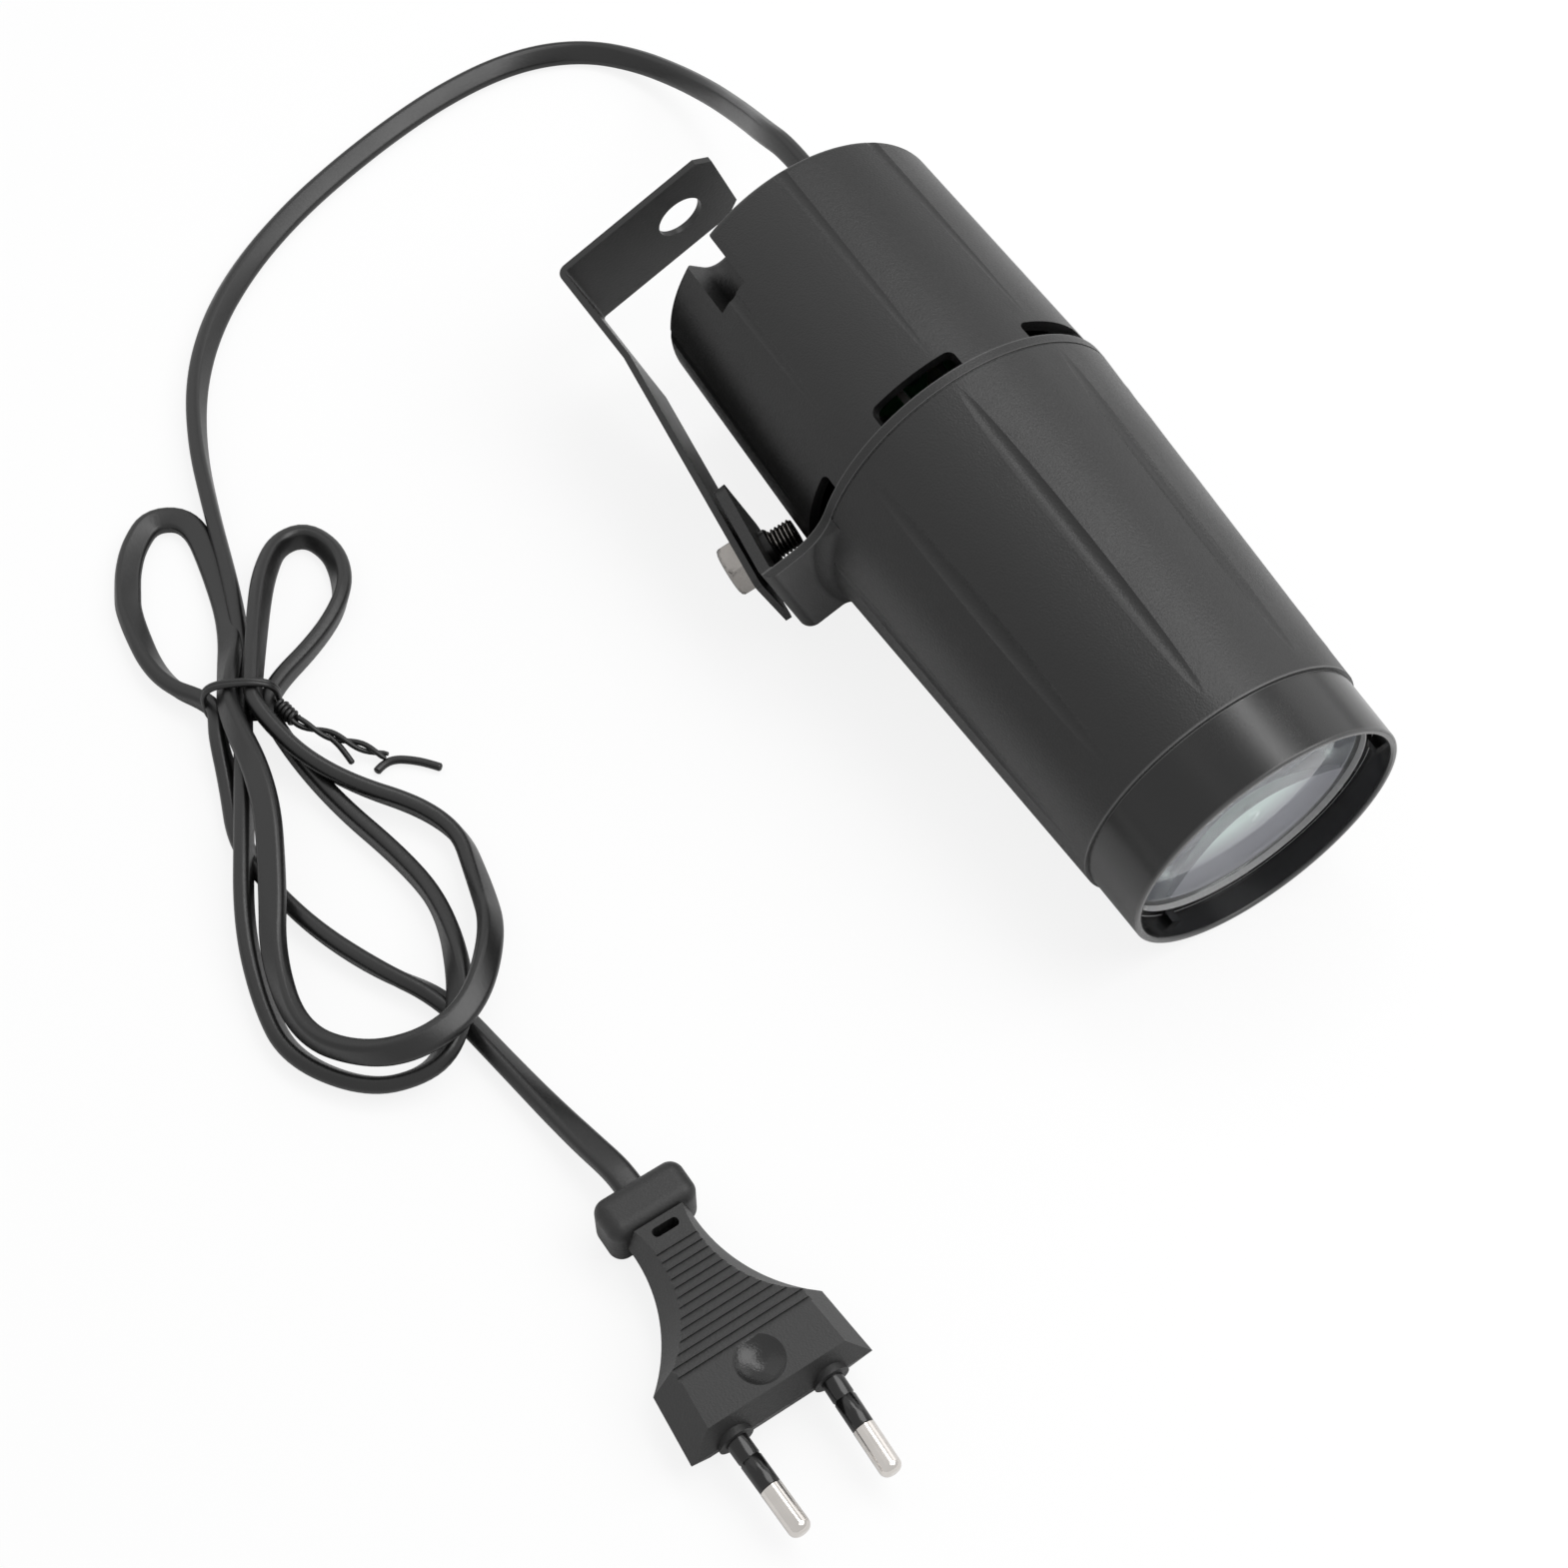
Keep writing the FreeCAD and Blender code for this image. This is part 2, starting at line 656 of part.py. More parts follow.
def main_lens():
    """Glass lens, crowned on both sides, with a ground edge."""
    back = lens_seat_s + gasket_height + seat_gap
    front = back + lens_edge
    rim = lens_radius - fit_gap
    plate = rod(rim, vec(back, 0, 0), lens_edge)
    caps = [crown(rim, lens_front_rise, front, ALONG), crown(lens_back_rim, lens_back_rise, back, -ALONG)]
    return joined(plate, caps)


def lens_snap_ring():
    """Open spring ring that holds the lens in the bezel."""
    start = lens_seat_s + gasket_height + lens_edge + 3 * seat_gap
    outer = bezel_bore + ring_groove - seat_gap
    profile = flat([(start, ring_inner_radius), (start, outer), (start + ring_height, outer),
                    (start + ring_height, ring_inner_radius)])
    ring = profile.revolve(NOWHERE, ALONG, 360 - ring_gap_angle)
    ring.rotate(NOWHERE, ALONG, 90 + ring_gap_angle / 2)
    return ring


def heat_sink():
    """Disc clamped in the joint, with fins towards the slots."""
    base_back = spigot_end + seat_gap
    body = rod(spigot_radius - fit_gap, vec(base_back, 0, 0), sink_base)
    body = body.fuse(rod(sink_core_radius, vec(base_back - fin_length, 0, 0), fin_length + overrun))
    fins = []
    for turn in spread(fin_count, 0):
        fin = Part.makeBox(fin_length + overrun, fin_radius, fin_thick, vec(base_back - fin_length, 0, -fin_thick / 2))
        fin.rotate(NOWHERE, ALONG, turn)
        fins.append(fin)
    body = joined(body, fins)
    for turn in spread(pocket_count, 0):
        body = body.cut(rod(post_radius + fit_gap, spoke(screw_circle, turn), body_length))
    body = body.cut(rod(2 * wire_radius + 2 * fit_gap, spoke(screw_circle, wire_turn()), body_length))
    for turn in board_screw_turns():
        body = body.cut(rod(board_screw_radius + seat_gap, spoke(board_screw_circle, turn) +
                            ALONG * (base_back + board_screw_length / 8), sink_base))
    return body


def wire_turn():
    """Where the wires to the light source pass the heat sink, midway between two posts."""
    return -180 / pocket_count


def board_screw_turns():
    """The two screws of the light source's board, clear of the wire."""
    return (wire_turn() + 90, wire_turn() - 90)


def led_board():
    body = rod(board_radius, vec(base_front, 0, 0), board_thick)
    for turn in board_screw_turns():
        start = spoke(board_screw_circle, turn) + ALONG * (base_front - overrun)
        body = body.cut(rod(board_screw_radius + fit_gap, start, board_thick + 2 * overrun))
    return body


def led_emitter():
    """Square package with its clear dome."""
    face = base_front + board_thick
    package = block((emitter_height, emitter_size, emitter_size), vec(face + emitter_height / 2, 0, 0))
    dome = Part.makeSphere(dome_radius, vec(face + emitter_height, 0, 0))
    front = Part.makeBox(dome_radius + overrun, 2 * emitter_size, 2 * emitter_size,
                         vec(face + emitter_height / 2, -emitter_size, -emitter_size))
    return joined(package, [dome.common(front)])


def optic_seat():
    """Rear face of the first lens."""
    return base_front + board_thick + emitter_height + seat_gap


def led_optic():
    """Clear cone lens over the light source, hollowed for the dome."""
    rear = optic_seat()
    cone = Part.makeCone(optic_rear_radius, optic_front_radius, optic_height, vec(rear, 0, 0), ALONG)
    brim = rod(optic_brim_radius, vec(rear + optic_height, 0, 0), optic_brim)
    hollow = rod(dome_radius + fit_gap, vec(rear - overrun, 0, 0), dome_radius + 2 * fit_gap + overrun)
    return joined(cone, [brim]).cut(hollow)


def optic_holder():
    """Black cup that stands on the board and carries the cone lens by its brim."""
    foot = base_front + board_thick
    seat = optic_seat() + optic_height - seat_gap
    top = seat + optic_brim + 2 * seat_gap
    brim_room = optic_brim_radius + fit_gap
    cone_room = optic_front_radius + fit_gap
    return turned([
        (foot, holder_radius - holder_wall), (foot, holder_radius), (top, holder_radius), (top, brim_room),
        (seat, brim_room), (seat, cone_room), (seat - holder_wall, cone_room),
        (seat - 2 * holder_wall, holder_radius - holder_wall)])


def board_screws():
    screws = []
    for turn in board_screw_turns():
        face = spoke(board_screw_circle, turn) + ALONG * (base_front + board_thick)
        head = rod(board_screw_head, face, board_screw_head_height)
        shank = rod(board_screw_radius, face - ALONG * board_screw_length, board_screw_length)
        slot_cut = block((board_screw_head_height, 3 * board_screw_head, board_screw_radius / 2),
                         face + ALONG * board_screw_head_height)
        screws.append(joined(head, [shank]).cut(slot_cut))
    return Part.makeCompound(screws)


def shell_screws():
    """Cross-head screws at the end walls of the pockets."""
    screws = []
    for turn in spread(pocket_count, 0):
        face = spoke(screw_circle, turn) + ALONG * (pocket_length - seat_gap)
        head = rod(screw_head_radius, face - ALONG * screw_head_height, screw_head_height)
        outer_edge = edges_where(head, lambda e: at_ends(e, lambda p: near(p.x, face.x - screw_head_height))
                                 and len(e.Vertexes) == 1)
        head = head.makeFillet(screw_head_height / 3, outer_edge)
        shank = rod(screw_radius, face, screw_length)
        cross = [block((2 * screw_drive_depth, 2 * screw_drive_radius, screw_drive_radius / 2),
                       face - ALONG * screw_head_height)]
        cross.append(cross[0].copy())
        cross[1].rotate(face, ALONG, 90)
        screws.append(joined(head, [shank]).cut(cross))
    return Part.makeCompound(screws)


def driver_top():
    return driver_thick - driver_drop


def driver_board():
    return block((driver_length, 2 * driver_half_width, driver_thick),
                 vec(driver_start + driver_length / 2, 0, driver_thick / 2 - driver_drop))


def driver_transformer():
    """Ferrite block with its wound bobbin showing between two flanges."""
    length, width, height = transformer_size
    centre = vec(driver_start + driver_length / 2, -width / 2, driver_top() + height / 2)
    core = block((length, width / 2, height), centre)
    coil = block((length - 2 * transformer_bobbin, width, height - transformer_bobbin), centre)
    return joined(core, [coil])


def driver_capacitors():
    """Three upright electrolytic capacitors."""
    cans = []
    at_y = 0
    for radius, height in zip(capacitor_radii, capacitor_heights):
        at_y = at_y + radius + fit_gap
        at_x = driver_start + driver_length - radius - 2 * wall
        can = rod(radius, vec(at_x, at_y, driver_top()), height, UP)
        top = edges_where(can, lambda e: len(e.Vertexes) == 1 and near(e.Vertexes[0].Point.z, driver_top() + height))
        cans.append(can.makeFillet(radius * capacitor_rounding_share, top))
        at_y = at_y + radius + fit_gap
    return Part.makeCompound(cans)


def driver_rectifier():
    length, width, height = bridge_size
    return block(bridge_size, vec(driver_start + length, width / 2 + seat_gap, driver_top() + height / 2))


def pivot_bolt():
    """Hexagon bolt, its head outside the bracket."""
    head = hexagon(hex_across, hex_height, vec(0, -seat_gap - hex_height, 0))
    shank = rod(bolt_radius, vec(0, -seat_gap, 0), bolt_length, ACROSS)
    end = edges_where(shank, lambda e: len(e.Vertexes) == 1 and near(e.Vertexes[0].Point.y, bolt_length - seat_gap))
    shank = shank.makeChamfer(bolt_chamfer, end)
    return on_pivot(joined(head, [shank]))


def pivot_nut():
    """Threaded insert moulded in the ear, its collar standing out on the inside."""
    start = ear_depth + seat_gap / 2
    length = ear_wall + insert_proud - seat_gap / 2
    body = rod(insert_radius, vec(0, start, 0), length, ACROSS)
    end = edges_where(body, lambda e: len(e.Vertexes) == 1 and near(e.Vertexes[0].Point.y, start + length))
    body = body.makeChamfer(insert_chamfer, end)
    return on_pivot(body.cut(rod(bolt_radius + seat_gap, NOWHERE, pivot_r / 3, ACROSS)))


def pivot_washer():
    start = vec(0, strip_thick + seat_gap, 0)
    body = rod(washer_radius, start, washer_height, ACROSS)
    return on_pivot(body.cut(rod(bolt_radius + fit_gap, NOWHERE, pivot_r / 3, ACROSS)))


def bracket():
    """Flat strip with a slight kick and a foot, bent from one piece."""
    bend = math.radians(kick_angle)
    knee = (-strip_arm, 0)
    heel = (knee[0] - strip_kick * math.cos(bend), -strip_kick * math.sin(bend))
    foot_way = (-math.sin(bend), math.cos(bend))
    toe = (heel[0] + foot_length * foot_way[0], heel[1] + foot_length * foot_way[1])
    inward = (strip_thick * math.cos(bend), strip_thick * math.sin(bend))
    outline = [
        (strip_front, 0), knee, heel, toe, (toe[0] + inward[0], toe[1] + inward[1]),
        (heel[0] + inward[0] + strip_thick * foot_way[0], heel[1] + inward[1] + strip_thick * foot_way[1]),
        (knee[0] - strip_thick * math.tan(bend / 2), strip_thick), (strip_front, strip_thick)]
    body = flat(outline).extrude(UP * strip_width)
    body.translate(UP * (-strip_width / 2))
    for corner, radius in ((2, bend_radius), (5, bend_radius - strip_thick)):
        px, py = outline[corner]
        fold = edges_where(body, lambda e: at_ends(e, lambda p: near(p.x, px) and near(p.y, py)))
        body = body.makeFillet(radius, fold)
    tips = [edge for edge in body.Edges if at_ends(edge, lambda p: near(p.x, strip_front))
            and near(edge.Length, strip_thick)]
    body = body.makeFillet(strip_corner, tips)
    toes = [edge for edge in body.Edges if near(edge.Length, strip_thick)
            and edge.CenterOfMass.y > toe[1] - strip_thick and abs(edge.CenterOfMass.z) > strip_width / 4]
    body = body.makeChamfer(foot_chamfer, toes)
    body = body.cut(rod(bolt_hole_radius, vec(0, -overrun, 0), strip_thick + 2 * overrun, ACROSS))
    way = vec(math.cos(bend), math.sin(bend))
    centre = vec(heel[0] + foot_hole_at * foot_way[0], heel[1] + foot_hole_at * foot_way[1])
    body = body.cut(rod(foot_hole_radius, centre - way * overrun, strip_thick + 2 * overrun, way))
    marks = [Part.Vertex(centre), Part.Vertex(centre + way * strip_thick)]
    for name, mark in zip(("foot hole, outer face", "foot hole, inner face"), marks):
        point = lay_down(on_pivot(swung(mark))).Point
        print(name, [round(value, 3) for value in point])
    return on_pivot(swung(body))


def round_route(points, name, radius):
    """A wire of straight runs joined by tangent arcs, as large as the two runs allow."""
    edges = []
    radii = []
    start = points[0]
    for before, corner, after in zip(points, points[1:], points[2:]):
        back = before - corner
        ahead = after - corner
        half_turn = (math.pi - back.getAngle(ahead)) / 2
        setback = run_share * min(back.Length, ahead.Length)
        bend = setback / math.tan(half_turn)
        back.normalize()
        ahead.normalize()
        inward = back + ahead
        inward.normalize()
        first = corner + back * setback
        last = corner + ahead * setback
        middle = corner + inward * (bend / math.cos(half_turn) - bend)
        edges.append(Part.LineSegment(start, first).toShape())
        edges.append(Part.Arc(first, middle, last).toShape())
        radii.append(bend)
        start = last
    edges.append(Part.LineSegment(start, points[-1]).toShape())
    print(name, "bend radii", [round(value, 1) for value in radii])
    return Part.Wire(edges)


def tube(path, radius, name):
    """A round tube along a wire, with its volume set against section times length."""
    first = path.Edges[0]
    direction = first.tangentAt(first.FirstParameter)
    circle = Part.Wire(Part.makeCircle(radius, first.valueAt(first.FirstParameter), direction))
    solid = path.makePipeShell([circle], True, False)
    section = math.pi * radius ** 2 * path.Length
    print(name, "length", round(path.Length, 1), "volume", round(solid.Volume, 1), "section x length",
          round(section, 1), "valid", solid.isValid())
    return solid


def biarc(start, start_way, end, end_way):
    """Two tangent arcs from one point and direction to the next."""
    chord = end - start
    both = start_way + end_way
    turn = 2 * (1 - start_way.dot(end_way))
    along = chord.dot(both)
    if turn < straight_share ** 2:
        reach = chord.dot(chord) / (4 * chord.dot(end_way))
    else:
        reach = (-along + math.sqrt(along ** 2 + turn * chord.dot(chord))) / turn
    first = start + start_way * reach
    last = end - end_way * reach
    middle = (first + last) * 0.5
    return [arc_towards(start, first, middle), arc_towards(middle, last, end)]


def arc_towards(start, corner, end):
    """The arc that leaves start towards a corner and reaches end from it, or a line if they are in line."""
    chord_middle = (start + end) * 0.5
    rise = (corner - chord_middle).Length
    half_chord = (end - start).Length / 2
    if rise < half_chord * straight_share:
        return Part.LineSegment(start, end).toShape()
    side = math.hypot(rise, half_chord)
    radius = half_chord * side / rise
    sagitta = radius - math.sqrt(radius ** 2 - half_chord ** 2)
    crown = chord_middle + (corner - chord_middle) * (sagitta / rise)
    return Part.Arc(start, crown, end).toShape()


# Each loop of the bundle: length, half width, heading, drift of its far end, and how lopsided it swells
# Then where on the loop its points start and end, and each point's height in layers above the table
loop_shapes = (
    (81.9, -16.8, -3.5, -1.8, 0.04), (37.5, -9.6, 124.5, 4.5, 0.05), (76.4, 19.7, -0.3, -3.2, 0.25),
    (47.5, -11.6, 192.8, -7.0, -0.1))
loop_span_shares = ((0.083, 0.917), (0.14, 0.86), (0.083, 0.917), (0.12, 0.88))
loop_layer_shares = (
    (1.05, 0.68, 0, 0, 0, 0.5, 1.05, 1.05, 0.5, 0, 0), (0, 0, 0, 0, 0, 0.3, 0.78, 1.4),
    (1.05, 0.2, 0.4, 1.7, 2.05, 2, 1.6, 1.2, 1.15, 1.65, 2.05), (0.3, 0, 0, 0, 0, 0, 0, 0, 0))

# Place of each pass in the tie: columns across the bundle and layers above the table
pass_shares = ((0, 0), (1, 0), (0.5, 1), (-0.5, 1), (-1, 0))


def heading_ways(degrees):
    """The way ahead and the way to the left at a heading."""
    angle = math.radians(degrees)
    return vec(math.cos(angle), math.sin(angle)), vec(-math.sin(angle), math.cos(angle))


def tie_point(along, column, layer):
    """A point in the bundle at the tie."""
    way, side = heading_ways(tie_heading)
    height = floor_z + tie_thick + tie_play + layer * layer_step
    return vec(tie_x, tie_y, height) + way * along + side * (column * (layer_step + pass_spread))


def loop_points(root, shape, span, layers):
    """A teardrop loop that leaves the tie, turns at its far end and comes back."""
    length, half_width, heading, drift, swell = shape
    way, side = heading_ways(heading)
    points = []
    for index, layer in enumerate(layers):
        turn = math.pi * (span[0] + (span[1] - span[0]) * index / (len(layers) - 1))
        along = length * math.sin(turn)
        across = half_width * math.sin(2 * turn) * (1 + swell * math.cos(turn)) + drift * math.sin(turn) ** 2
        points.append(vec(root.x, root.y, floor_z + layer * layer_step) + way * along + side * across)
    return points


def hank_points():
    """Every point of the bundle's one cord: a pass through the tie, a loop, the next pass back."""
    points = []
    ahead = 1
    for index, (column, layer) in enumerate(pass_shares):
        points.append(tie_point(-ahead * tie_half_pass, column, layer))
        points.append(tie_point(ahead * tie_half_pass, column, layer))
        if index < len(loop_shapes):
            root = tie_point(ahead * tie_loop_root, 0, 0)
            points.extend(loop_points(root, loop_shapes[index], loop_span_shares[index], loop_layer_shares[index]))
        ahead = -ahead
    return points


def smooth_ways(points):
    """A level direction at each point from its two neighbours, the nearer one counting more."""
    ways = [points[1] - points[0]]
    for before, here, after in zip(points, points[1:], points[2:]):
        back = here - before
        ahead = after - here
        ways.append(back * (ahead.Length / back.Length) + ahead * (back.Length / ahead.Length))
    ways.append(points[-1] - points[-2])
    for way in ways:
        way.z = 0
        way.normalize()
    return ways


def least_gap(path, radius):
    """Least gap between stretches of one tube, and the points where it is."""
    count = int(path.Length / radius)
    points = path.discretize(count)
    step = path.Length / (count - 1)
    apart = int(apart_share * radius / step)
    best = path.Length
    where = None
    for index, point in enumerate(points):
        for other in points[index + apart:]:
            gap = point.distanceToPoint(other) - 2 * radius
            if gap < best:
                best = gap
                where = (point, other)
    return best, where


def cord_hank():
    points = hank_points()
    ways = smooth_ways(points)
    edges = []
    for index in range(len(points) - 1):
        edges.extend(biarc(points[index], ways[index], points[index + 1], ways[index + 1]))
    path = Part.Wire(edges)
    radii = [edge.Curve.Radius for edge in path.Edges if hasattr(edge.Curve, "Radius")]
    print("hank tightest radii", sorted(round(value, 1) for value in radii)[:6])
    gap, where = least_gap(path, cord_radius)
    print("hank least gap to itself", round(gap, 2), where)
    return tube(path, cord_radius, "hank")


def gland_tip():
    """The cord's exit from the gland, on the table's frame, and its direction."""
    root = gland_centre() - ALONG * (gland_flange + gland_boot_length)
    marks = [lay_down(Part.Vertex(root)).Point, lay_down(Part.Vertex(root - ALONG)).Point]
    return marks[0], marks[1] - marks[0]


def cord_lead():
    exit_point, way = gland_tip()
    points = [exit_point, exit_point + way * (4 * cord_radius)]
    points.extend(vec(*place) for place in lead_route)
    column, layer = pass_shares[0]
    start = tie_point(-tie_half_pass, column, layer)
    inside = tie_point(tie_half_pass, column, layer)
    points.append(start + (start - inside) * lead_in_share)
    points.append(start)
    return tube(round_route(points, "lead", cord_radius), cord_radius, "lead")


def cord_tail():
    column, layer = pass_shares[-1]
    start = tie_point(-tie_half_pass, column, layer)
    end = tie_point(tie_half_pass, column, layer)
    points = [end, end + (end - start) * lead_out_share]
    points.extend(vec(*place) for place in tail_route)
    back = plug_point(-plug_length, 0)
    points.append(plug_point(-plug_length - 3 * cord_radius, 0))
    points.append(back)
    return tube(round_route(points, "tail", cord_radius), cord_radius, "tail")


def twist_tie():
    """Band round the bundle, with its twisted ends lying beside it."""
    columns = [column for column, layer in pass_shares]
    layers = [layer for column, layer in pass_shares]
    half = (max(columns) - min(columns)) / 2 * (layer_step + pass_spread) + cord_radius + tie_play
    tall = max(layers) * layer_step + 2 * cord_radius + 2 * tie_play
    outer = block((tie_band, 2 * (half + tie_thick), tall + 2 * tie_thick), NOWHERE)
    inner = block((tie_band + 2 * overrun, 2 * half, tall), NOWHERE)
    long_edges = edges_where(outer, lambda e: near(e.Length, tie_band))
    outer = outer.makeFillet(cord_radius + tie_thick, long_edges)
    long_edges = edges_where(inner, lambda e: near(e.Length, tie_band + 2 * overrun))
    band = outer.cut(inner.makeFillet(cord_radius, long_edges))
    band.rotate(NOWHERE, UP, tie_heading)
    low = min(layers) * layer_step + floor_z + tie_thick - cord_radius
    band.translate(vec(tie_x, tie_y, low + tall / 2))
    side = tie_point(0, 1, 0) - tie_point(0, 0, 0)
    side.normalize()
    root = vec(tie_x, tie_y, low + tall / 2) + side * (half + tie_thick / 2)
    path = round_route([root] + [vec(*place) for place in tie_route], "tie", tie_wire_radius)
    return joined(band, [tube(path, tie_wire_radius, "tie")])


def plug_point(x, y, z=0):
    """A point in the plug's frame, put on the table; x runs to the pins from the plug's face."""
    angle = math.radians(plug_heading)
    return vec(plug_face_x + x * math.cos(angle) - y * math.sin(angle),
               plug_face_y + x * math.sin(angle) + y * math.cos(angle), plug_mid_z + z)


def plug_placed(shape):
    shape = shape.copy()
    shape.rotate(NOWHERE, UP, plug_heading)
    shape.translate(vec(plug_face_x, plug_face_y, plug_mid_z))
    return shape


def plug_outline(height, width, waist, neck, bevel):
    """Half-round necked outline of the plug at one height."""
    rear = width / 2 * plug_flare_share
    corners = [vec(-plug_block, rear, height), vec(-bevel, width / 2, height), vec(-bevel, -width / 2, height),
               vec(-plug_block, -rear, height)]
    necks = [vec(-plug_neck_at, -neck / 2, height), vec(-plug_neck_at, neck / 2, height)]
    edges = [Part.LineSegment(a, b) for a, b in zip(corners, corners[1:])]
    edges.append(Part.Arc(corners[3], vec(-plug_waist_at, -waist / 2, height), necks[0]))
    edges.append(Part.LineSegment(necks[0], necks[1]))
    edges.append(Part.Arc(necks[1], vec(-plug_waist_at, waist / 2, height), corners[0]))
    return Part.Wire([edge.toShape() for edge in edges])


def plug_body():
    """Flat two-pin plug: bevelled sides, necked grip with ribs, collar, thumb dimple."""
    half = plug_height / 2
    top_waist = plug_waist_width - plug_width + plug_top_width
    top = plug_outline(half, plug_top_width, top_waist, plug_neck_top_width, plug_face_bevel)
    middle = plug_outline(0, plug_width, plug_waist_width, plug_neck_width, 0)
    bottom = plug_outline(-half, plug_top_width, top_waist, plug_neck_top_width, plug_face_bevel)
    body = Part.makeLoft([bottom, middle, top], True, True)
    neck_half = collar_height / 2 - plug_rib_depth
    slope = (half - neck_half) / (plug_neck_at - plug_block)
    for side in (-1, 1):
        wedge = flat([(-plug_block, side * half), (-plug_length, side * (half - slope * (plug_length - plug_block))),
                      (-plug_length, side * 2 * half), (-plug_block, side * 2 * half)])
        wedge.rotate(NOWHERE, ALONG, 90)
        wedge.translate(ACROSS * plug_width)
        body = body.cut(wedge.extrude(ACROSS * (-2 * plug_width)))
        pitch = (plug_rib_end - plug_rib_start) / plug_rib_count
        for index in range(plug_rib_count):
            at = plug_rib_start + index * pitch
            surface = half - slope * max(at - plug_block, 0)
            groove = block((pitch * plug_rib_share, plug_width, 2 * plug_rib_depth), vec(-at, 0, side * surface))
            body = body.cut(groove)
        ball = (dimple_radius ** 2 + dimple_depth ** 2) / (2 * dimple_depth)
        centre = vec(-dimple_at, 0, side * (half - dimple_depth + ball))
        body = body.cut(Part.makeSphere(ball, centre))
    collar = block((plug_length - plug_neck_at, collar_width, collar_height),
                   vec(-(plug_length + plug_neck_at) / 2, 0, 0))
    collar = collar.makeFillet(collar_rounding, collar.Edges)
    bosses = [pin_at(side, plug_boss_radius, -plug_face_bevel - overrun, plug_face_bevel + overrun + plug_boss_proud)
              for side in (-1, 1)]
    body = joined(body, [collar] + bosses)
    slot_cut = block((plug_slot_length, plug_slot_width, plug_height), vec(-plug_slot_at, 0, 0))
    corners = edges_where(slot_cut, lambda e: near(e.Length, plug_height))
    body = body.cut(slot_cut.makeFillet(plug_slot_length / 2 * plug_slot_rounding_share, corners))
    for side in (-1, 1):
        body = body.cut(pin_at(side, pin_radius + pin_play, -pin_socket - pin_play, pin_socket + overrun))
        body = body.cut(pin_at(side, pin_core_radius + pin_play, -2 * pin_socket, 2 * pin_socket))
    return plug_placed(body)


def pin_at(side, radius, start, length):
    """A rod on one pin's axis, which leans in a little towards its tip."""
    lean = math.atan((pin_base_pitch - pin_tip_pitch) / 2 / pin_length)
    way = vec(math.cos(lean), -side * math.sin(lean))
    return rod(radius, vec(0, side * pin_base_pitch / 2) + way * start, length, way)


def plug_sleeves():
    sleeves = []
    for side in (-1, 1):
        sleeve = pin_at(side, pin_radius, -pin_socket, pin_socket + sleeve_length)
        sleeve = sleeve.cut(pin_at(side, pin_core_radius + pin_play, -2 * pin_socket, 3 * sleeve_length))
        ring = pin_at(side, 2 * pin_radius, sleeve_ring_at, sleeve_ring_width)
        ring = ring.cut(pin_at(side, pin_radius - sleeve_ring_depth, 0, sleeve_length))
        sleeves.append(plug_placed(sleeve.cut(ring)))
    return Part.makeCompound(sleeves)


def plug_pins():
    pins = []
    for side in (-1, 1):
        core = pin_at(side, pin_core_radius, -2 * pin_socket + pin_play, 2 * pin_socket + sleeve_length)
        metal = pin_at(side, pin_radius, sleeve_length + pin_play, pin_length - sleeve_length - pin_play)
        tip = [edge for edge in metal.Edges
               if len(edge.Vertexes) == 1 and edge.CenterOfMass.x > pin_length * pin_far_share]
        metal = metal.makeFillet(pin_radius * pin_rounding_share, tip)
        pins.append(plug_placed(joined(metal, [core])))
    return Part.makeCompound(pins)


def cord_gland():
    """Moulded strain relief: flange outside, neck and lip through the wall, ribbed boot."""
    lip = gland_neck_radius + gland_flange / 2
    outline = [
        (rear_wall + gland_flange + seat_gap, cord_radius + seat_gap), (rear_wall + gland_flange + seat_gap, lip),
        (rear_wall + seat_gap, lip), (rear_wall + seat_gap, gland_neck_radius), (-seat_gap, gland_neck_radius),
        (-seat_gap, gland_flange_radius), (-gland_flange, gland_flange_radius), (-gland_flange, gland_boot_root),
        (-gland_flange - gland_boot_length, gland_boot_tip),
        (-gland_flange - gland_boot_length, 0), (-gland_flange - gland_boot_length * gland_hollow_share, 0),
        (-gland_flange - gland_boot_length * gland_hollow_share, cord_radius + seat_gap)]
    body = turned(outline)
    pitch = gland_boot_length / (2 * gland_rib_count + 1)
    for index in range(gland_rib_count):
        at = -gland_flange - (2 * index + gland_first_rib_share) * pitch
        radius = gland_boot_root + (gland_boot_tip - gland_boot_root) * (-gland_flange - at) / gland_boot_length
        groove = turned([(at, radius - gland_rib_depth), (at, 2 * gland_boot_root), (at + pitch, 2 * gland_boot_root),
                         (at + pitch, radius - gland_rib_depth)])
        body = body.cut(groove)
    body.translate(gland_centre())
    return body


def wire_pair(points, name, apart):
    """Two wires side by side on parallel routes."""
    wires = []
    for side in (-1, 1):
        shifted = [point + apart * (side / 2) for point in points]
        wires.append(tube(round_route(shifted, name, wire_radius), wire_radius, name))
    return Part.makeCompound(wires)


def input_wires():
    """From the gland to the driver board."""
    start = gland_centre() + ALONG * (rear_wall + gland_flange + 2 * seat_gap)
    down = driver_top() + wire_radius
    points = [start, start + ALONG * wall, vec(driver_start, start.y, (start.z + down) / 2),
              vec(driver_start + 3 * wall, start.y, down + seat_gap)]
    return wire_pair(points, "input wire", ACROSS * wire_sides_gap)


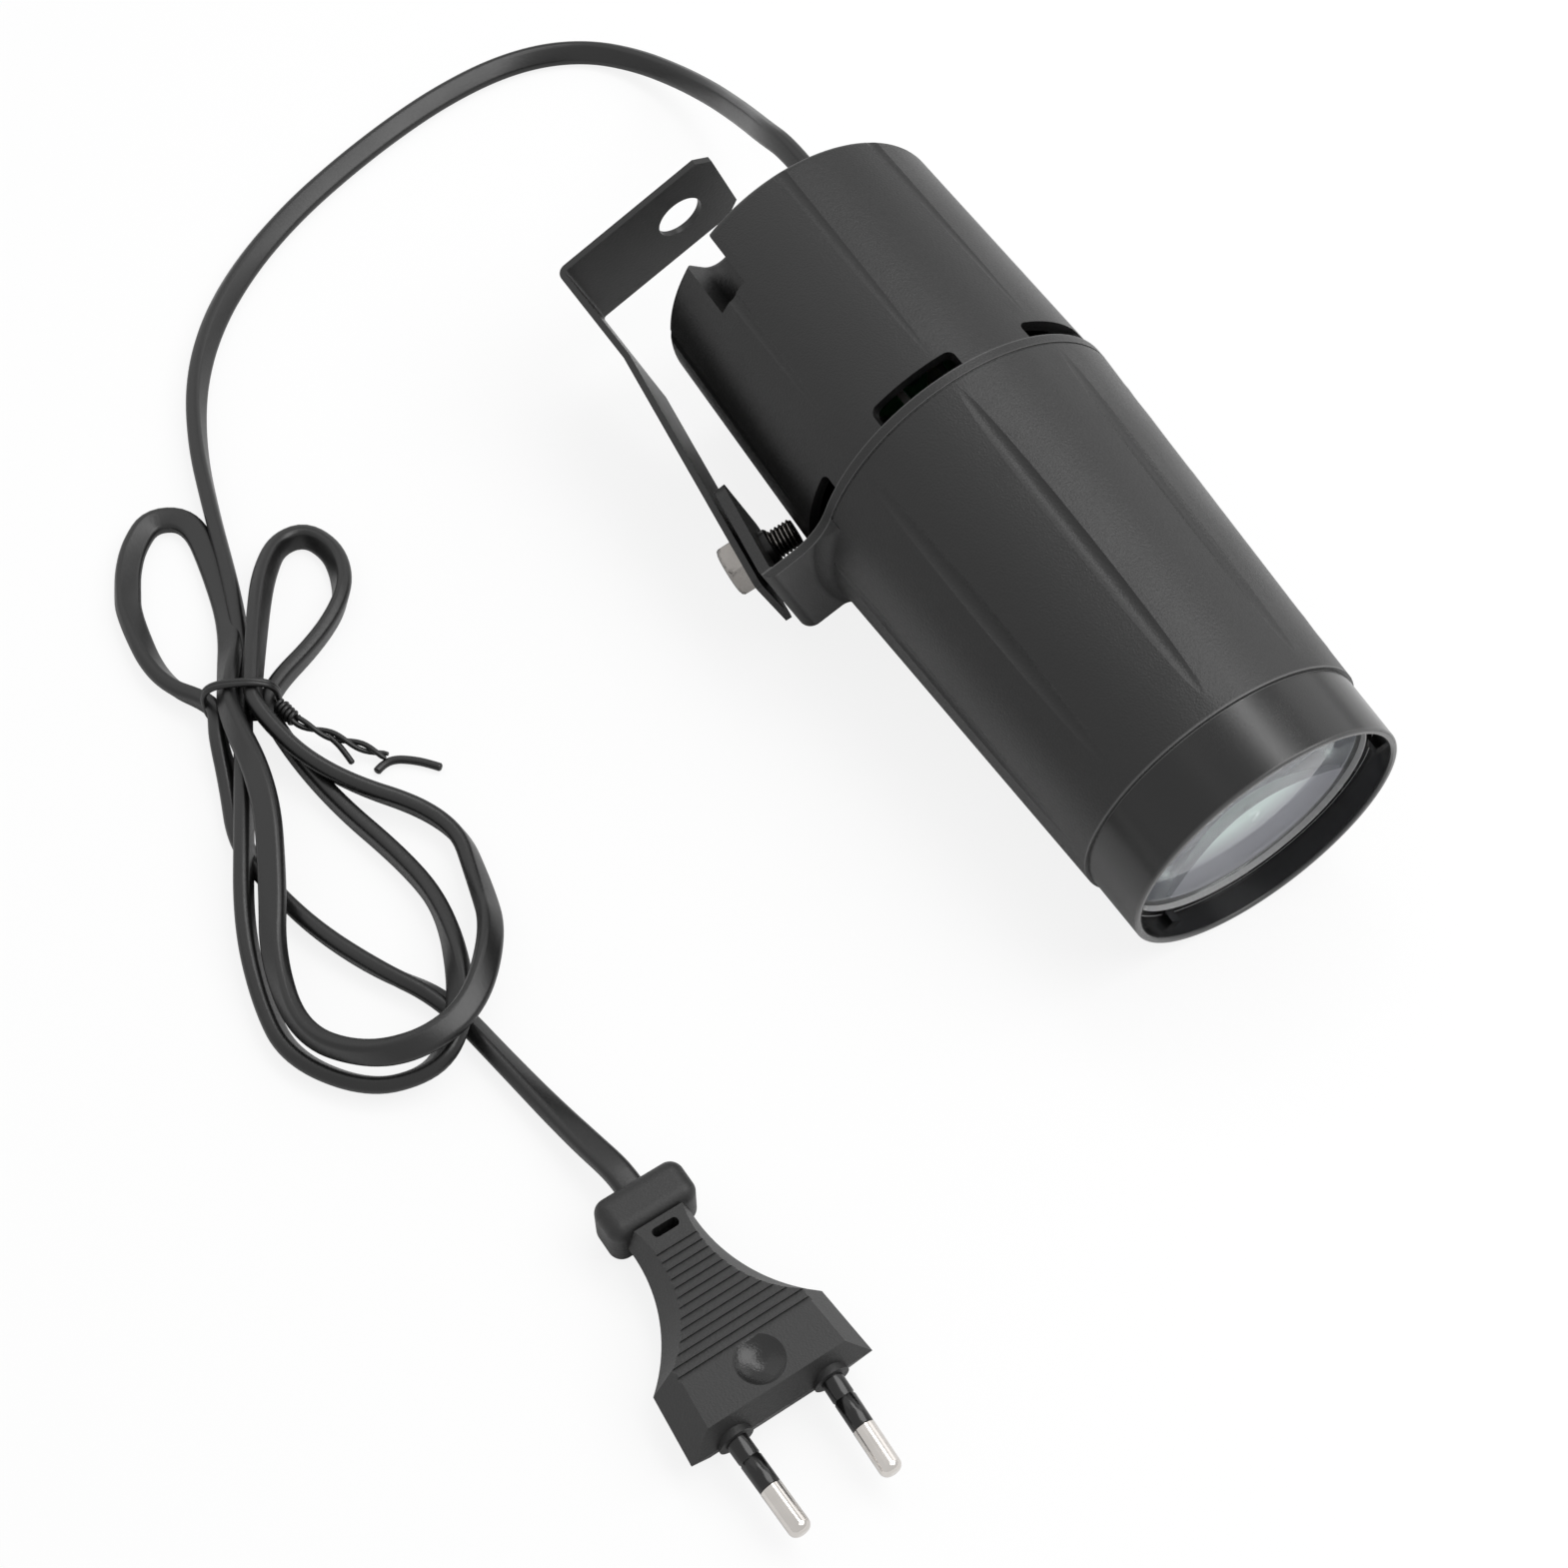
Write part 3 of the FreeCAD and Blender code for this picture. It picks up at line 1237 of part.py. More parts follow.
def led_wires():
    """From the driver board, past the fins and through the heat sink, to the light source."""
    pass_point = spoke(screw_circle, wire_turn())
    board_edge = spoke(board_radius - wall, wire_turn())
    front = base_front + board_thick + wire_radius + seat_gap
    board_end = driver_start + driver_length
    points = [vec(board_end + seat_gap, pass_point.y, driver_top() - driver_thick / 2),
              vec(board_end + wall, pass_point.y, driver_top() - driver_thick / 2),
              pass_point + ALONG * (spigot_end - fin_length - wall),
              pass_point + ALONG * (base_front + wall),
              vec(front + wall, (pass_point.y + board_edge.y) / 2, (pass_point.z + board_edge.z) / 2),
              vec(front, board_edge.y, board_edge.z)]
    beside = spoke(2 * wire_radius + seat_gap, wire_turn() + 90)
    return wire_pair(points, "led wire", beside)


lamp_pieces = {
    "front_shell": front_shell, "rear_shell": rear_shell, "front_bezel": front_bezel, "lens_gasket": lens_gasket,
    "main_lens": main_lens, "lens_snap_ring": lens_snap_ring, "heat_sink": heat_sink, "led_board": led_board,
    "led_emitter": led_emitter, "led_optic": led_optic, "optic_holder": optic_holder, "board_screws": board_screws,
    "shell_screws": shell_screws, "driver_board": driver_board, "driver_transformer": driver_transformer,
    "driver_capacitors": driver_capacitors, "driver_rectifier": driver_rectifier, "pivot_bolt": pivot_bolt,
    "pivot_nut": pivot_nut, "pivot_washer": pivot_washer, "bracket": bracket, "cord_gland": cord_gland,
    "input_wires": input_wires, "led_wires": led_wires}
table_pieces = {
    "cord_lead": cord_lead, "cord_hank": cord_hank, "cord_tail": cord_tail, "twist_tie": twist_tie,
    "plug_body": plug_body, "plug_sleeves": plug_sleeves, "plug_pins": plug_pins}

pieces = {name: lay_down(make()) for name, make in lamp_pieces.items()}
pieces.update({name: make() for name, make in table_pieces.items()})
for name, shape in pieces.items():
    shape.exportStep("parts/" + name + ".step")

lamp_box = FreeCAD.BoundBox()
for name in lamp_pieces:
    lamp_box.add(pieces[name].BoundBox)
print("lamp box", lamp_box)
pivot = lay_down(on_pivot(Part.Vertex(NOWHERE))).Point
outward = lay_down(on_pivot(Part.Vertex(-ACROSS))).Point - pivot
print("pivot", pivot, "outward", outward)
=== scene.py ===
"""Looks of a small pinspot light with its strip bracket, bundled mains lead and flat plug.

The file is laid out like an add-on and is run as a script. Lengths are in metres.
"""
import math

import bmesh
import bpy
from mathutils import Matrix, Vector


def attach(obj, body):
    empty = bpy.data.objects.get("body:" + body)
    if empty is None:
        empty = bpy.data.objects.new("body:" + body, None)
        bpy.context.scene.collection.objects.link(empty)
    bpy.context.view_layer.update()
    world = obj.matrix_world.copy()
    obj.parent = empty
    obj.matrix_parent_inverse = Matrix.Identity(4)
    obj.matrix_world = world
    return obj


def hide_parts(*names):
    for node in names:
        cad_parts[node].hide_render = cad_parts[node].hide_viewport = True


bl_info = {
    "name": "Pinspot light",
    "version": (1, 0, 0),
    "blender": (4, 5, 0),
    "location": "3D View > Sidebar > Pinspot",
    "description": "Finishes and fine pieces of a small pinspot light with its mains lead",
    "category": "Object",
}

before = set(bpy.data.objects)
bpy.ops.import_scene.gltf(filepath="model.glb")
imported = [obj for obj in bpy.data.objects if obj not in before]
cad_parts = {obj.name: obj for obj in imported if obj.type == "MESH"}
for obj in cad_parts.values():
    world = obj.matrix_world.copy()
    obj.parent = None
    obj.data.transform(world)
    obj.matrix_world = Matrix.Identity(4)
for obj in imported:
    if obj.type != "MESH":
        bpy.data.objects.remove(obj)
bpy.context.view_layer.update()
MM = 0.001
LAMP = "lamp"
WHITE = (1, 1, 1, 1)

# The lamp's own frame: X along the optical axis from the rear rim, the lug towards -Y
rear_rim = Vector((-64.66, 6.66, 35.655))
lamp_dip = math.radians(2.76)
lamp_roll = math.radians(22.6)
lamp_frame = (Matrix.Translation(rear_rim * MM) @ Matrix.Rotation(lamp_dip, 4, "Y")
              @ Matrix.Rotation(lamp_roll, 4, "X"))

# The pivot's frame: the bracket's outer face at the origin, its outer side towards -Y
pivot_on_lamp = Vector((45.64, -43.84, 0))
pivot_lean = math.radians(-6.66)
pivot_frame = (lamp_frame @ Matrix.Translation(pivot_on_lamp * MM)
               @ Matrix.Rotation(pivot_lean, 4, "Z"))

# Places along the lamp's axis in metres from its rear rim: the joint's edges, the seam before the
# bezel, with the edges of both pieces there, and the bezel's rim
joint_edge = 0.058
joint_groove = 0.06
front_shell_end = 0.1388
seam = 0.139
bezel_start = 0.1391
bezel_rim = 0.1527

# The inside painted pale as a stand-in for light seen through the lens: where the front shell's
# bore begins, its radius at the seam and its taper, and the end and the radius of the lens seat in
# the bezel
bore_start = 0.09
bore_radius = 0.0274
bore_taper = 0.053
seat_end = 0.1425
seat_radius = 0.026

# The painted reflection on the lens seen from the front, in metres from its middle: the upper end
# of the painted haze and the lower end of the painted sliver, how much each bends down towards the
# sides, the start of the clear rim, and the sliver's painted horn with its radius, its height and
# the half width of each
painted_haze_top = 0.0049
painted_haze_bend = 44
painted_sliver_foot = 0.0076
painted_sliver_bend = 11
clear_rim = 0.0236
painted_horn_radius = 0.0178
painted_horn_width = 0.002
painted_horn_height = 0.001
painted_horn_spread = 0.005

# Radii of the painted highlights on the spring ring's inner and outer edge
ring_inner = 0.0251
ring_outer = 0.0266

# Grain and handling wear, as noise scales
GRAIN_SCALE = 2600
WEAR_SCALE = 45


class Tone:
    """A shader value that takes part in plain arithmetic, each step adding its Math node."""

    def __init__(self, nodes, socket):
        self.nodes = nodes
        self.socket = socket

    def _math(self, operation, first, second):
        return self.nodes.node("ShaderNodeMath", {"operation": operation}, {0: first, 1: second})

    def __add__(self, other):
        return self._math("ADD", self, other)

    def __sub__(self, other):
        return self._math("SUBTRACT", self, other)

    def __rsub__(self, other):
        return self._math("SUBTRACT", other, self)

    def __mul__(self, other):
        return self._math("MULTIPLY", self, other)

    def __pow__(self, other):
        return self._math("POWER", self, other)

    def __abs__(self):
        return self._math("ABSOLUTE", self, 0.0)

    def __lt__(self, other):
        return self._math("LESS_THAN", self, other)

    def __gt__(self, other):
        return self._math("GREATER_THAN", self, other)

    def at_least(self, other):
        return self._math("MAXIMUM", self, other)

    def at_most(self, other):
        return self._math("MINIMUM", self, other)

    def held(self):
        """The value kept between 0 and 1."""
        return self.at_least(0.0).at_most(1.0)


class Nodes:
    """A node tree, built up node by node."""

    def __init__(self, tree):
        self.tree = tree

    def node(self, kind, settings=None, inputs=None, output=0):
        """One node of a kind, its settings first, then the values or links of its sockets."""
        made = self.tree.nodes.new(kind)
        for key, value in (settings or {}).items():
            setattr(made, key, value)
        for key, value in (inputs or {}).items():
            if isinstance(value, Tone):
                self.tree.links.new(value.socket, made.inputs[key])
            else:
                made.inputs[key].default_value = value
        return Tone(self, made.outputs[output])

    def rays(self, *names):
        """1 for rays of each kind, by the names of a Light Path node."""
        path = self.tree.nodes.new("ShaderNodeLightPath")
        return [Tone(self, path.outputs[name]) for name in names]


class Finish(Nodes):
    """A material on one Principled shader, built up from its nodes."""

    def __init__(self, name, **constants):
        self.material = bpy.data.materials.new(name)
        self.material.use_nodes = True
        super().__init__(self.material.node_tree)
        self.shader = self.tree.nodes["Principled BSDF"]
        for key, value in constants.items():
            label = key.replace("_", " ").title().replace("Ior", "IOR")
            self.shader.inputs[label].default_value = value

    def coordinates(self):
        """Object coordinates, which here are the row frame's metres."""
        return self.node("ShaderNodeTexCoord", output="Object")

    def parts(self, point, axes=(0, 1, 2)):
        """The coordinates of a point, one for each axis."""
        return [self.node("ShaderNodeSeparateXYZ", {}, {0: point}, axis) for axis in axes]

    def along(self, axis):
        """The place along one axis of the row frame, in metres."""
        return self.parts(self.coordinates(), (axis,))[0]

    def within(self, axis_frame):
        """The three coordinates in another frame, in metres."""
        return self.parts(self.node("ShaderNodeMapping", {"vector_type": "TEXTURE"}, {
            "Vector": self.coordinates(), "Location": axis_frame.to_translation(),
            "Rotation": axis_frame.to_euler()}))

    def about(self, axis_frame, axis):
        """The place along an axis of another frame, and the distance from that axis, in metres."""
        parts = self.within(axis_frame)
        along = parts.pop(axis)
        return along, (parts[0] ** 2 + parts[1] ** 2) ** 0.5

    def line(self, value, middle, half_width):
        """1 where a value is at the middle of a thin line, falling to 0 at its edges."""
        return (1 - abs(value - middle) * (1 / half_width)).at_least(0.0)

    def noise(self, scale, detail=2.0, roughness=0.5, stretch=(1, 1, 1)):
        place = self.node("ShaderNodeMapping", {}, {"Vector": self.coordinates(), "Scale": stretch})
        return self.node("ShaderNodeTexNoise", {}, {
            "Vector": place, "Scale": scale, "Detail": detail, "Roughness": roughness}, "Fac")

    def blend(self, share, first, second):
        """A colour between two colours."""
        return self.node("ShaderNodeMix", {"data_type": "RGBA"},
                         {"Factor": share, 6: first, 7: second}, 2)

    def drive(self, socket, value):
        self.tree.links.new(value.socket, self.shader.inputs[socket])

    def roughen(self, rough, broad, broad_share, fine=None, fine_share=0.0):
        """Roughness about a middle value, varied by wear and by grain."""
        swing = (broad - 0.5) * broad_share
        if fine:
            swing = swing + (fine - 0.5) * fine_share
        self.drive("Roughness", swing + rough)

    def bump(self, height, distance):
        bumped = self.node("ShaderNodeBump", {}, {"Height": height, "Distance": distance})
        self.drive("Normal", bumped)

    def cover(self, share, layer):
        """Another shader over the Principled one, as a share of the two."""
        mixed = self.node("ShaderNodeMixShader", {}, {0: share, 2: layer})
        self.tree.links.new(self.shader.outputs[0], mixed.socket.node.inputs[1])
        self.tree.links.new(mixed.socket, self.tree.nodes["Material Output"].inputs["Surface"])


def colour(grey, warmth=0.0):
    return (grey * (1 + warmth), grey, grey * (1 - warmth), 1)


def moulded(name, shade, rough, grain, grain_scale=GRAIN_SCALE, warmth=0.0):
    """Moulded plastic or powder paint with a fine grain and a little handling wear."""
    finish = Finish(name)
    fine = finish.noise(grain_scale)
    broad = finish.noise(WEAR_SCALE, 3.0)
    finish.drive("Base Color", finish.blend(
        broad * 0.6 + fine * 0.4, colour(shade * 0.88, warmth), colour(shade * 1.12, warmth)))
    finish.roughen(rough, broad, 0.16, fine, 0.1)
    finish.bump(fine, grain)
    return finish.material


def plated(name, shade, rough, brushing=0.00001, warmth=0.03):
    """Plated or bare metal with fine drawing marks."""
    finish = Finish(name, metallic=1.0)
    broad = finish.noise(180, 3.0)
    finish.drive("Base Color", finish.blend(
        broad, colour(shade * 0.82, warmth), colour(shade * 1.08, warmth)))
    finish.roughen(rough, broad, 0.2)
    finish.bump(finish.noise(900, 4.0, 0.6, (1, 6, 1)), brushing)
    return finish.material


def lacquered(name, scale, first, second):
    """Lacquer or tape that varies between two colours."""
    finish = Finish(name)
    fine = finish.noise(scale)
    finish.drive("Base Color", finish.blend(fine, first, second))
    finish.drive("Roughness", fine * 0.2 + 0.3)
    return finish.material


def dressed(name, shade, rough, grain, edges, inside=None):
    """Moulded plastic of the lamp, with painted highlights as paler lines on its round edges, given
    as (place along the axis, half width), and painted pale inside as light seen through the lens,
    where inside(along, radius) is 1."""
    finish = Finish(name)
    fine = finish.noise(GRAIN_SCALE)
    broad = finish.noise(WEAR_SCALE, 3.0)
    along, radius = finish.about(lamp_frame, 0)
    # Painted highlights: paler lines along the round edges where light would catch them, varied by
    # the broad noise
    painted_edge_highlight = 0.0
    for middle, half_width in edges:
        painted_edge_highlight = finish.line(along, middle, half_width) + painted_edge_highlight
    tone = finish.blend(broad * 0.6 + fine * 0.4, colour(shade * 0.85), colour(shade * 1.15))
    tone = finish.blend(painted_edge_highlight * (broad * 0.6 + 0.5), tone, colour(0.11))
    relief = fine
    # Painted light: the inside is made pale, without grain, as a stand-in for light seen through
    # the lens
    if inside:
        part = inside(along, radius)
        tone = finish.blend(part, tone, (0.7, 0.69, 0.74, 1))
        relief = fine * (1 - part)
    finish.drive("Base Color", tone)
    finish.roughen(rough, broad, 0.16, fine, 0.1)
    finish.bump(relief, grain)
    return finish.material


def paint(piece, material):
    piece.data.materials.clear()
    piece.data.materials.append(material)


def smooth(piece, degrees):
    piece.data.shade_smooth()
    piece.data.set_sharp_from_angle(angle=math.radians(degrees))


def finish_node(name, material, degrees=32):
    """Give a carried-over CAD node its finish."""
    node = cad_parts[name]
    paint(node, material)
    smooth(node, degrees)


def mesh_piece(name, body, material, build, place, degrees):
    """A new piece from a bmesh builder, put in place and set to ride on its body. Edges sharper
    than the given degrees stay sharp."""
    mesh = bpy.data.meshes.new(name)
    form = bmesh.new()
    build(form)
    if place is not None:
        form.transform(place)
    bmesh.ops.recalc_face_normals(form, faces=form.faces)
    form.to_mesh(mesh)
    form.free()
    piece = bpy.data.objects.new(name, mesh)
    bpy.context.scene.collection.objects.link(piece)
    paint(piece, material)
    smooth(piece, degrees)
    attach(piece, body)
    return piece


def ring_of(form, points):
    return [form.verts.new(point) for point in points]


def skin(form, rings):
    """Faces between rings of equal count, and caps at both ends."""
    for lower, upper in zip(rings, rings[1:]):
        count = len(lower)
        for index in range(count):
            beside = (index + 1) % count
            form.faces.new((lower[index], lower[beside], upper[beside], upper[index]))
    form.faces.new(rings[0])
    form.faces.new(list(reversed(rings[-1])))


def round_steps(count):
    """Angles spread evenly round a circle, each with its cosine and sine."""
    angles = [2 * math.pi * index / count for index in range(count)]
    return [(angle, math.cos(angle), math.sin(angle)) for angle in angles]


def turned(form, profile, segments=48):
    """A solid of revolution about X from points given as (along, radius)."""
    skin(form, [ring_of(form, [(along, radius * cosine, radius * sine)
                               for _, cosine, sine in round_steps(segments)])
                for along, radius in profile])


def smooth_line(points, resolution=16):
    """The points that a smooth line passes, its control points being the given points."""
    curve = bpy.data.curves.new("route", "CURVE")
    curve.dimensions = "3D"
    spline = curve.splines.new("NURBS")
    spline.points.add(len(points) - 1)
    for control, point in zip(spline.points, points):
        control.co = (*point, 1)
    spline.order_u = 3
    spline.use_endpoint_u = True
    spline.resolution_u = resolution
    carrier = bpy.data.objects.new("route", curve)
    mesh = bpy.data.meshes.new_from_object(carrier)
    line = [vertex.co.copy() for vertex in mesh.vertices]
    bpy.data.meshes.remove(mesh)
    bpy.data.objects.remove(carrier)
    bpy.data.curves.remove(curve)
    return line


def even_line(line, step, values=None):
    """A line at even steps along it, its length, and the values that go with its points."""
    reach = [0.0]
    for before, after in zip(line, line[1:]):
        reach.append(reach[-1] + (after - before).length)
    count = max(2, round(reach[-1] / step) + 1)
    values = values or [0.0] * len(line)
    places = []
    kept = []
    index = 0
    for number in range(count):
        wanted = reach[-1] * number / (count - 1)
        while index < len(reach) - 2 and reach[index + 1] < wanted:
            index += 1
        share = min(1.0, (wanted - reach[index]) / max(reach[index + 1] - reach[index], 1e-12))
        places.append(line[index].lerp(line[index + 1], share))
        kept.append(values[index] + (values[index + 1] - values[index]) * share)
    return places, reach[-1], kept


def way_ahead(line, index):
    """The way ahead at a point of a line."""
    return (line[min(index + 1, len(line) - 1)] - line[max(index - 1, 0)]).normalized()


def ways_across(line):
    """At each point of a line, two ways across it that turn as little as possible."""
    ways = []
    across = way_ahead(line, 0).orthogonal().normalized()
    for index in range(len(line)):
        ahead = way_ahead(line, index)
        across = (across - ahead * across.dot(ahead)).normalized()
        ways.append((across, ahead.cross(across)))
    return ways


def wire(form, line, radius, sides=10):
    """A round wire along a line, its ends drawn in a little."""
    rings = []
    for index, (point, (across, over)) in enumerate(zip(line, ways_across(line))):
        size = radius * (0.7 if index in (0, len(line) - 1) else 1.0)
        rings.append(ring_of(form, [point + (across * cosine + over * sine) * size
                                    for _, cosine, sine in round_steps(sides)]))
    skin(form, rings)


def coil(line, radius, pitch, phase=0.0):
    """A line that winds round another at a radius, one turn for each pitch."""
    places, length, _ = even_line(line, pitch / 14)
    wound = []
    for index, (point, (across, over)) in enumerate(zip(places, ways_across(places))):
        turn = phase + 2 * math.pi * length * index / (len(places) - 1) / pitch
        wound.append(point + (across * math.cos(turn) + over * math.sin(turn)) * radius)
    return wound


# The mains lead, from its strain relief through the bundle to the plug: the points of its line,
# and how far it leans on its side there, in degrees
lead_route = (
    (-84.237, 20.66, 36.598, 72), (-92.2, 20.7, 37.0, 72), (-101.7, 21.2, 33.4, 72),
    (-113.1, 24.3, 26.2, 72), (-124.6, 27.0, 19.2, 72), (-137.3, 28.9, 12.4, 62),
    (-150.4, 28.4, 7.2, 62), (-162.4, 24.9, 4.2, 62), (-172.1, 18.4, 2.5, 52),
    (-177.1, 8.5, 2.5, 52), (-178.9, -3.5, 2.4, 42), (-177.5, -17.8, 2.4, 42),
    (-174.2, -32.1, 2.2, 32), (-169.2, -47.2, 2.2, 32), (-163.0, -62.1, 2.2, 32),
    (-154.1, -77.3, 2.4, 42), (-143.1, -90.4, 2.5, 54), (-129.6, -100.7, 2.6, 66),
    (-113.6, -108.0, 2.7, 80), (-97.3, -112.7, 2.7, 88), (-79.5, -117.1, 2.7, 88),
    (-66.6, -121.0, 3.2, 88))
first_pass = (
    (-57.0, -124.6, 4.1, 88), (-52.5, -126.9, 4.1, 88), (-46.7, -129.9, 4.1, 88))
long_loop = (
    (-23.7, -140.5, 6.4, 80), (-5.7, -149.8, 4.7, 84), (9.5, -153.7, 2.7, 72),
    (22.0, -154.3, 2.6, 62), (34.5, -145.7, 2.6, 62), (38.3, -135.7, 3.9, 62),
    (36.2, -129.0, 6.4, 30), (27.4, -122.4, 6.4, 30), (10.5, -117.2, 3.9, 88),
    (-2.6, -117.9, 2.7, 88), (-24.1, -123.8, 3.0, 88))
second_pass = (
    (-44.6, -125.6, 4.1, 88), (-50.3, -122.7, 4.1, 88))
right_ear = (
    (-57.1, -109.0, 2.7, 80), (-63.1, -100.8, 2.7, 80), (-69.4, -97.6, 2.5, 50),
    (-75.9, -96.7, 2.5, 50), (-82.0, -99.3, 2.7, 70), (-82.3, -105.2, 3.0, 84),
    (-76.3, -110.4, 5.2, 62), (-68.1, -115.4, 7.9, 62))
third_pass = (
    (-51.4, -124.8, 8.6, 84), (-45.7, -127.7, 8.6, 84))
top_loop = (
    (-26.4, -123.1, 6.4, 66), (-7.3, -105.9, 2.6, 84), (9.5, -109.1, 3.5, 50),
    (21.8, -112.7, 9.3, 50), (33.8, -122.9, 10.8, 24), (36.1, -133.9, 10.6, 24),
    (31.8, -143.8, 8.8, 80), (21.0, -151.3, 7.0, 80), (4.6, -148.7, 6.8, 40),
    (-8.3, -141.8, 9.0, 16), (-26.3, -134.0, 10.8, 16))
fourth_pass = (
    (-47.8, -132.0, 8.6, 60), (-53.5, -129.1, 8.6, 60))
left_ear = (
    (-67.8, -122.1, 3.0, 6), (-83.6, -118.6, 1.8, 6), (-97.8, -116.8, 1.8, 6),
    (-102.1, -123.7, 2.1, 20), (-97.6, -129.6, 2.1, 22), (-92.5, -133.2, 2.1, 22),
    (-88.3, -135.2, 2.1, 22), (-82.5, -137.7, 2.3, 36), (-64.2, -139.5, 2.6, 60))
last_pass = (
    (-53.0, -132.8, 4.1, 86), (-48.6, -134.3, 4.1, 86), (-45.5, -135.8, 4.1, 86))
tail_route = (
    (-35.1, -138.3, 2.6, 60), (-22.7, -142.6, 2.6, 60), (-11.0, -141.5, 2.7, 76),
    (1.7, -138.4, 2.7, 76), (14.9, -132.6, 2.7, 76), (25.6, -125.5, 2.4, 46),
    (43.1, -122.4, 2.5, 46), (55.7, -120.3, 3.6, 32), (65.5, -118.6, 5.4, 10),
    (71.6, -117.4, 6.6, 4), (75.0, -117.0, 6.85, 2), (78.1, -116.85, 6.85, 0))
mains_route = (lead_route + first_pass + long_loop + second_pass + right_ear + third_pass + top_loop
               + fourth_pass + left_ear + last_pass + tail_route)

# The plug's frame: its face at the pins, X out along them, and the height of its parting line
plug_face = Vector((123.6, -115.5, 6.85))
plug_turn = math.radians(1.7)
plug_frame = Matrix.Translation(plug_face * MM) @ Matrix.Rotation(plug_turn, 4, "Z")

# The plug's thumb dimple, in metres behind its face
dimple_behind = 0.0068
dimple_radius = 0.0044

# The plug's pins, in millimetres: how far each is from the middle, how much it leans inward, and
# the outline of its sleeve as (along, radius)
pin_offset = 9.3
pin_lean = math.atan(0.55 / 19)
sleeve_profile = (
    (-0.6, 1.55), (-0.6, 2.0), (3.9, 2.0), (4.1, 1.86), (4.35, 1.86), (4.55, 2.0), (9.75, 1.97),
    (9.95, 1.8), (9.95, 1.55))

# The twist tie, in millimetres: its place on the bundle, the size of its turns round it, and
# their form above and below, from 2 for round to more for square
tie_centre = Vector((-49.6, -128.4, 0))
tie_turn = math.radians(-27)
tie_way = Vector((math.cos(tie_turn), math.sin(tie_turn), 0))
tie_side = Vector((-tie_way.y, tie_way.x, 0))
tie_middle = 6.35
tie_half_width = 7.05
tie_half_height = 5.5
tie_top_form = 2.8
tie_low_form = 5

# From turn to turn of the tie's twisted pair and of the wire wound round it, in metres, and the
# lines of the pair, the cut stub and the free end
tie_pair_pitch = 0.0125
tie_wound_pitch = 0.0009
tie_twist = (
    (-44.4, -122.8, 6.9), (-42.4, -122.6, 6.8), (-40.2, -121.8, 6.3), (-38.2, -120.3, 5.2),
    (-35.8, -118.0, 4.2), (-32.6, -115.0, 3.2), (-29.4, -112.3, 2.3), (-26.6, -110.0, 1.7))
tie_stub = (
    (-35.4, -117.8, 4.0), (-34.0, -117.1, 3.3), (-31.8, -116.5, 2.4), (-28.8, -116.2, 1.4))
tie_end = (
    (-24.9, -113.2, 1.1), (-25.8, -111.4, 1.1), (-25.5, -108.8, 1.2), (-23.4, -106.0, 1.2),
    (-21.3, -103.9, 1.1), (-19.3, -102.3, 1.0))


class PinspotHousing(bpy.types.PropertyGroup):
    """Sizes and shades of the lamp's housing."""
    shell_shade: bpy.props.FloatProperty(
        name="Shell shade", description="How light the shells are", default=0.006, min=0, max=1)
    bezel_shade: bpy.props.FloatProperty(
        name="Bezel shade", description="How light the bezel is", default=0.004, min=0, max=1)
    grain: bpy.props.FloatProperty(
        name="Grain depth", description="Depth of the moulded grain", default=0.00008,
        min=0, max=0.001, unit="LENGTH", precision=6)


class PinspotCord(bpy.types.PropertyGroup):
    """Sizes and shade of the mains lead and its tie."""
    width: bpy.props.FloatProperty(
        name="Cord width", description="Across the wide face", default=0.0051, unit="LENGTH")
    height: bpy.props.FloatProperty(
        name="Cord height", description="Across the narrow face", default=0.0031, unit="LENGTH")
    edge_rounding: bpy.props.FloatProperty(
        name="Edge rounding",
        description="Rounding of the cord's edges as a share of half its height", default=0.8,
        min=0.1, max=1, subtype="FACTOR")
    shade: bpy.props.FloatProperty(
        name="Cord shade", description="How light the cord is", default=0.008, min=0, max=1)
    tie_radius: bpy.props.FloatProperty(
        name="Tie radius", description="Radius of the tie's covered wire", default=0.0006,
        unit="LENGTH", precision=5)


class PinspotBolt(bpy.types.PropertyGroup):
    """Sizes of the pivot bolt, in millimetres."""
    head_across: bpy.props.FloatProperty(
        name="Head", description="Across the head's flats, in millimetres", default=10.0)
    head_height: bpy.props.FloatProperty(
        name="Head height", description="Height of the head, in millimetres", default=4.0)
    shank_radius: bpy.props.FloatProperty(
        name="Shank radius", description="Outer radius of the thread, in millimetres", default=3.0)
    thread_length: bpy.props.FloatProperty(
        name="Thread length", description="Length under the head, in millimetres", default=11.4)
    thread_pitch: bpy.props.FloatProperty(
        name="Thread pitch", description="From turn to turn, in millimetres", default=0.85)
    thread_depth: bpy.props.FloatProperty(
        name="Thread depth", description="Depth of the thread, in millimetres", default=0.5)


class PinspotStage(bpy.types.PropertyGroup):
    """Floor and light."""
    floor_colour: bpy.props.FloatVectorProperty(
        name="Floor colour", description="Colour of the floor", subtype="COLOR", size=3,
        default=(0.92, 0.92, 0.92), min=0, max=1)
    key_power: bpy.props.FloatProperty(
        name="Key light", description="Power of the main soft light", default=5.0, unit="POWER")


class PINSPOT_OT_camera(bpy.types.Operator):
    """Put the camera at the photograph's viewing angle"""
    bl_idname = "pinspot.camera"
    bl_label = "Camera"

    def execute(self, context):
        data = bpy.data.cameras.new("camera")
        camera = bpy.data.objects.new("camera", data)
        context.scene.collection.objects.link(camera)
        camera.location = Vector((257.80, -199.40, 436.85)) * MM
        aim = Vector((17.70, -48.98, 0)) * MM
        camera.rotation_euler = (aim - camera.location).to_track_quat("-Z", "Y").to_euler()
        data.angle = math.radians(31.77)
        data.clip_start = 0.01
        context.scene.camera = camera
        return {"FINISHED"}


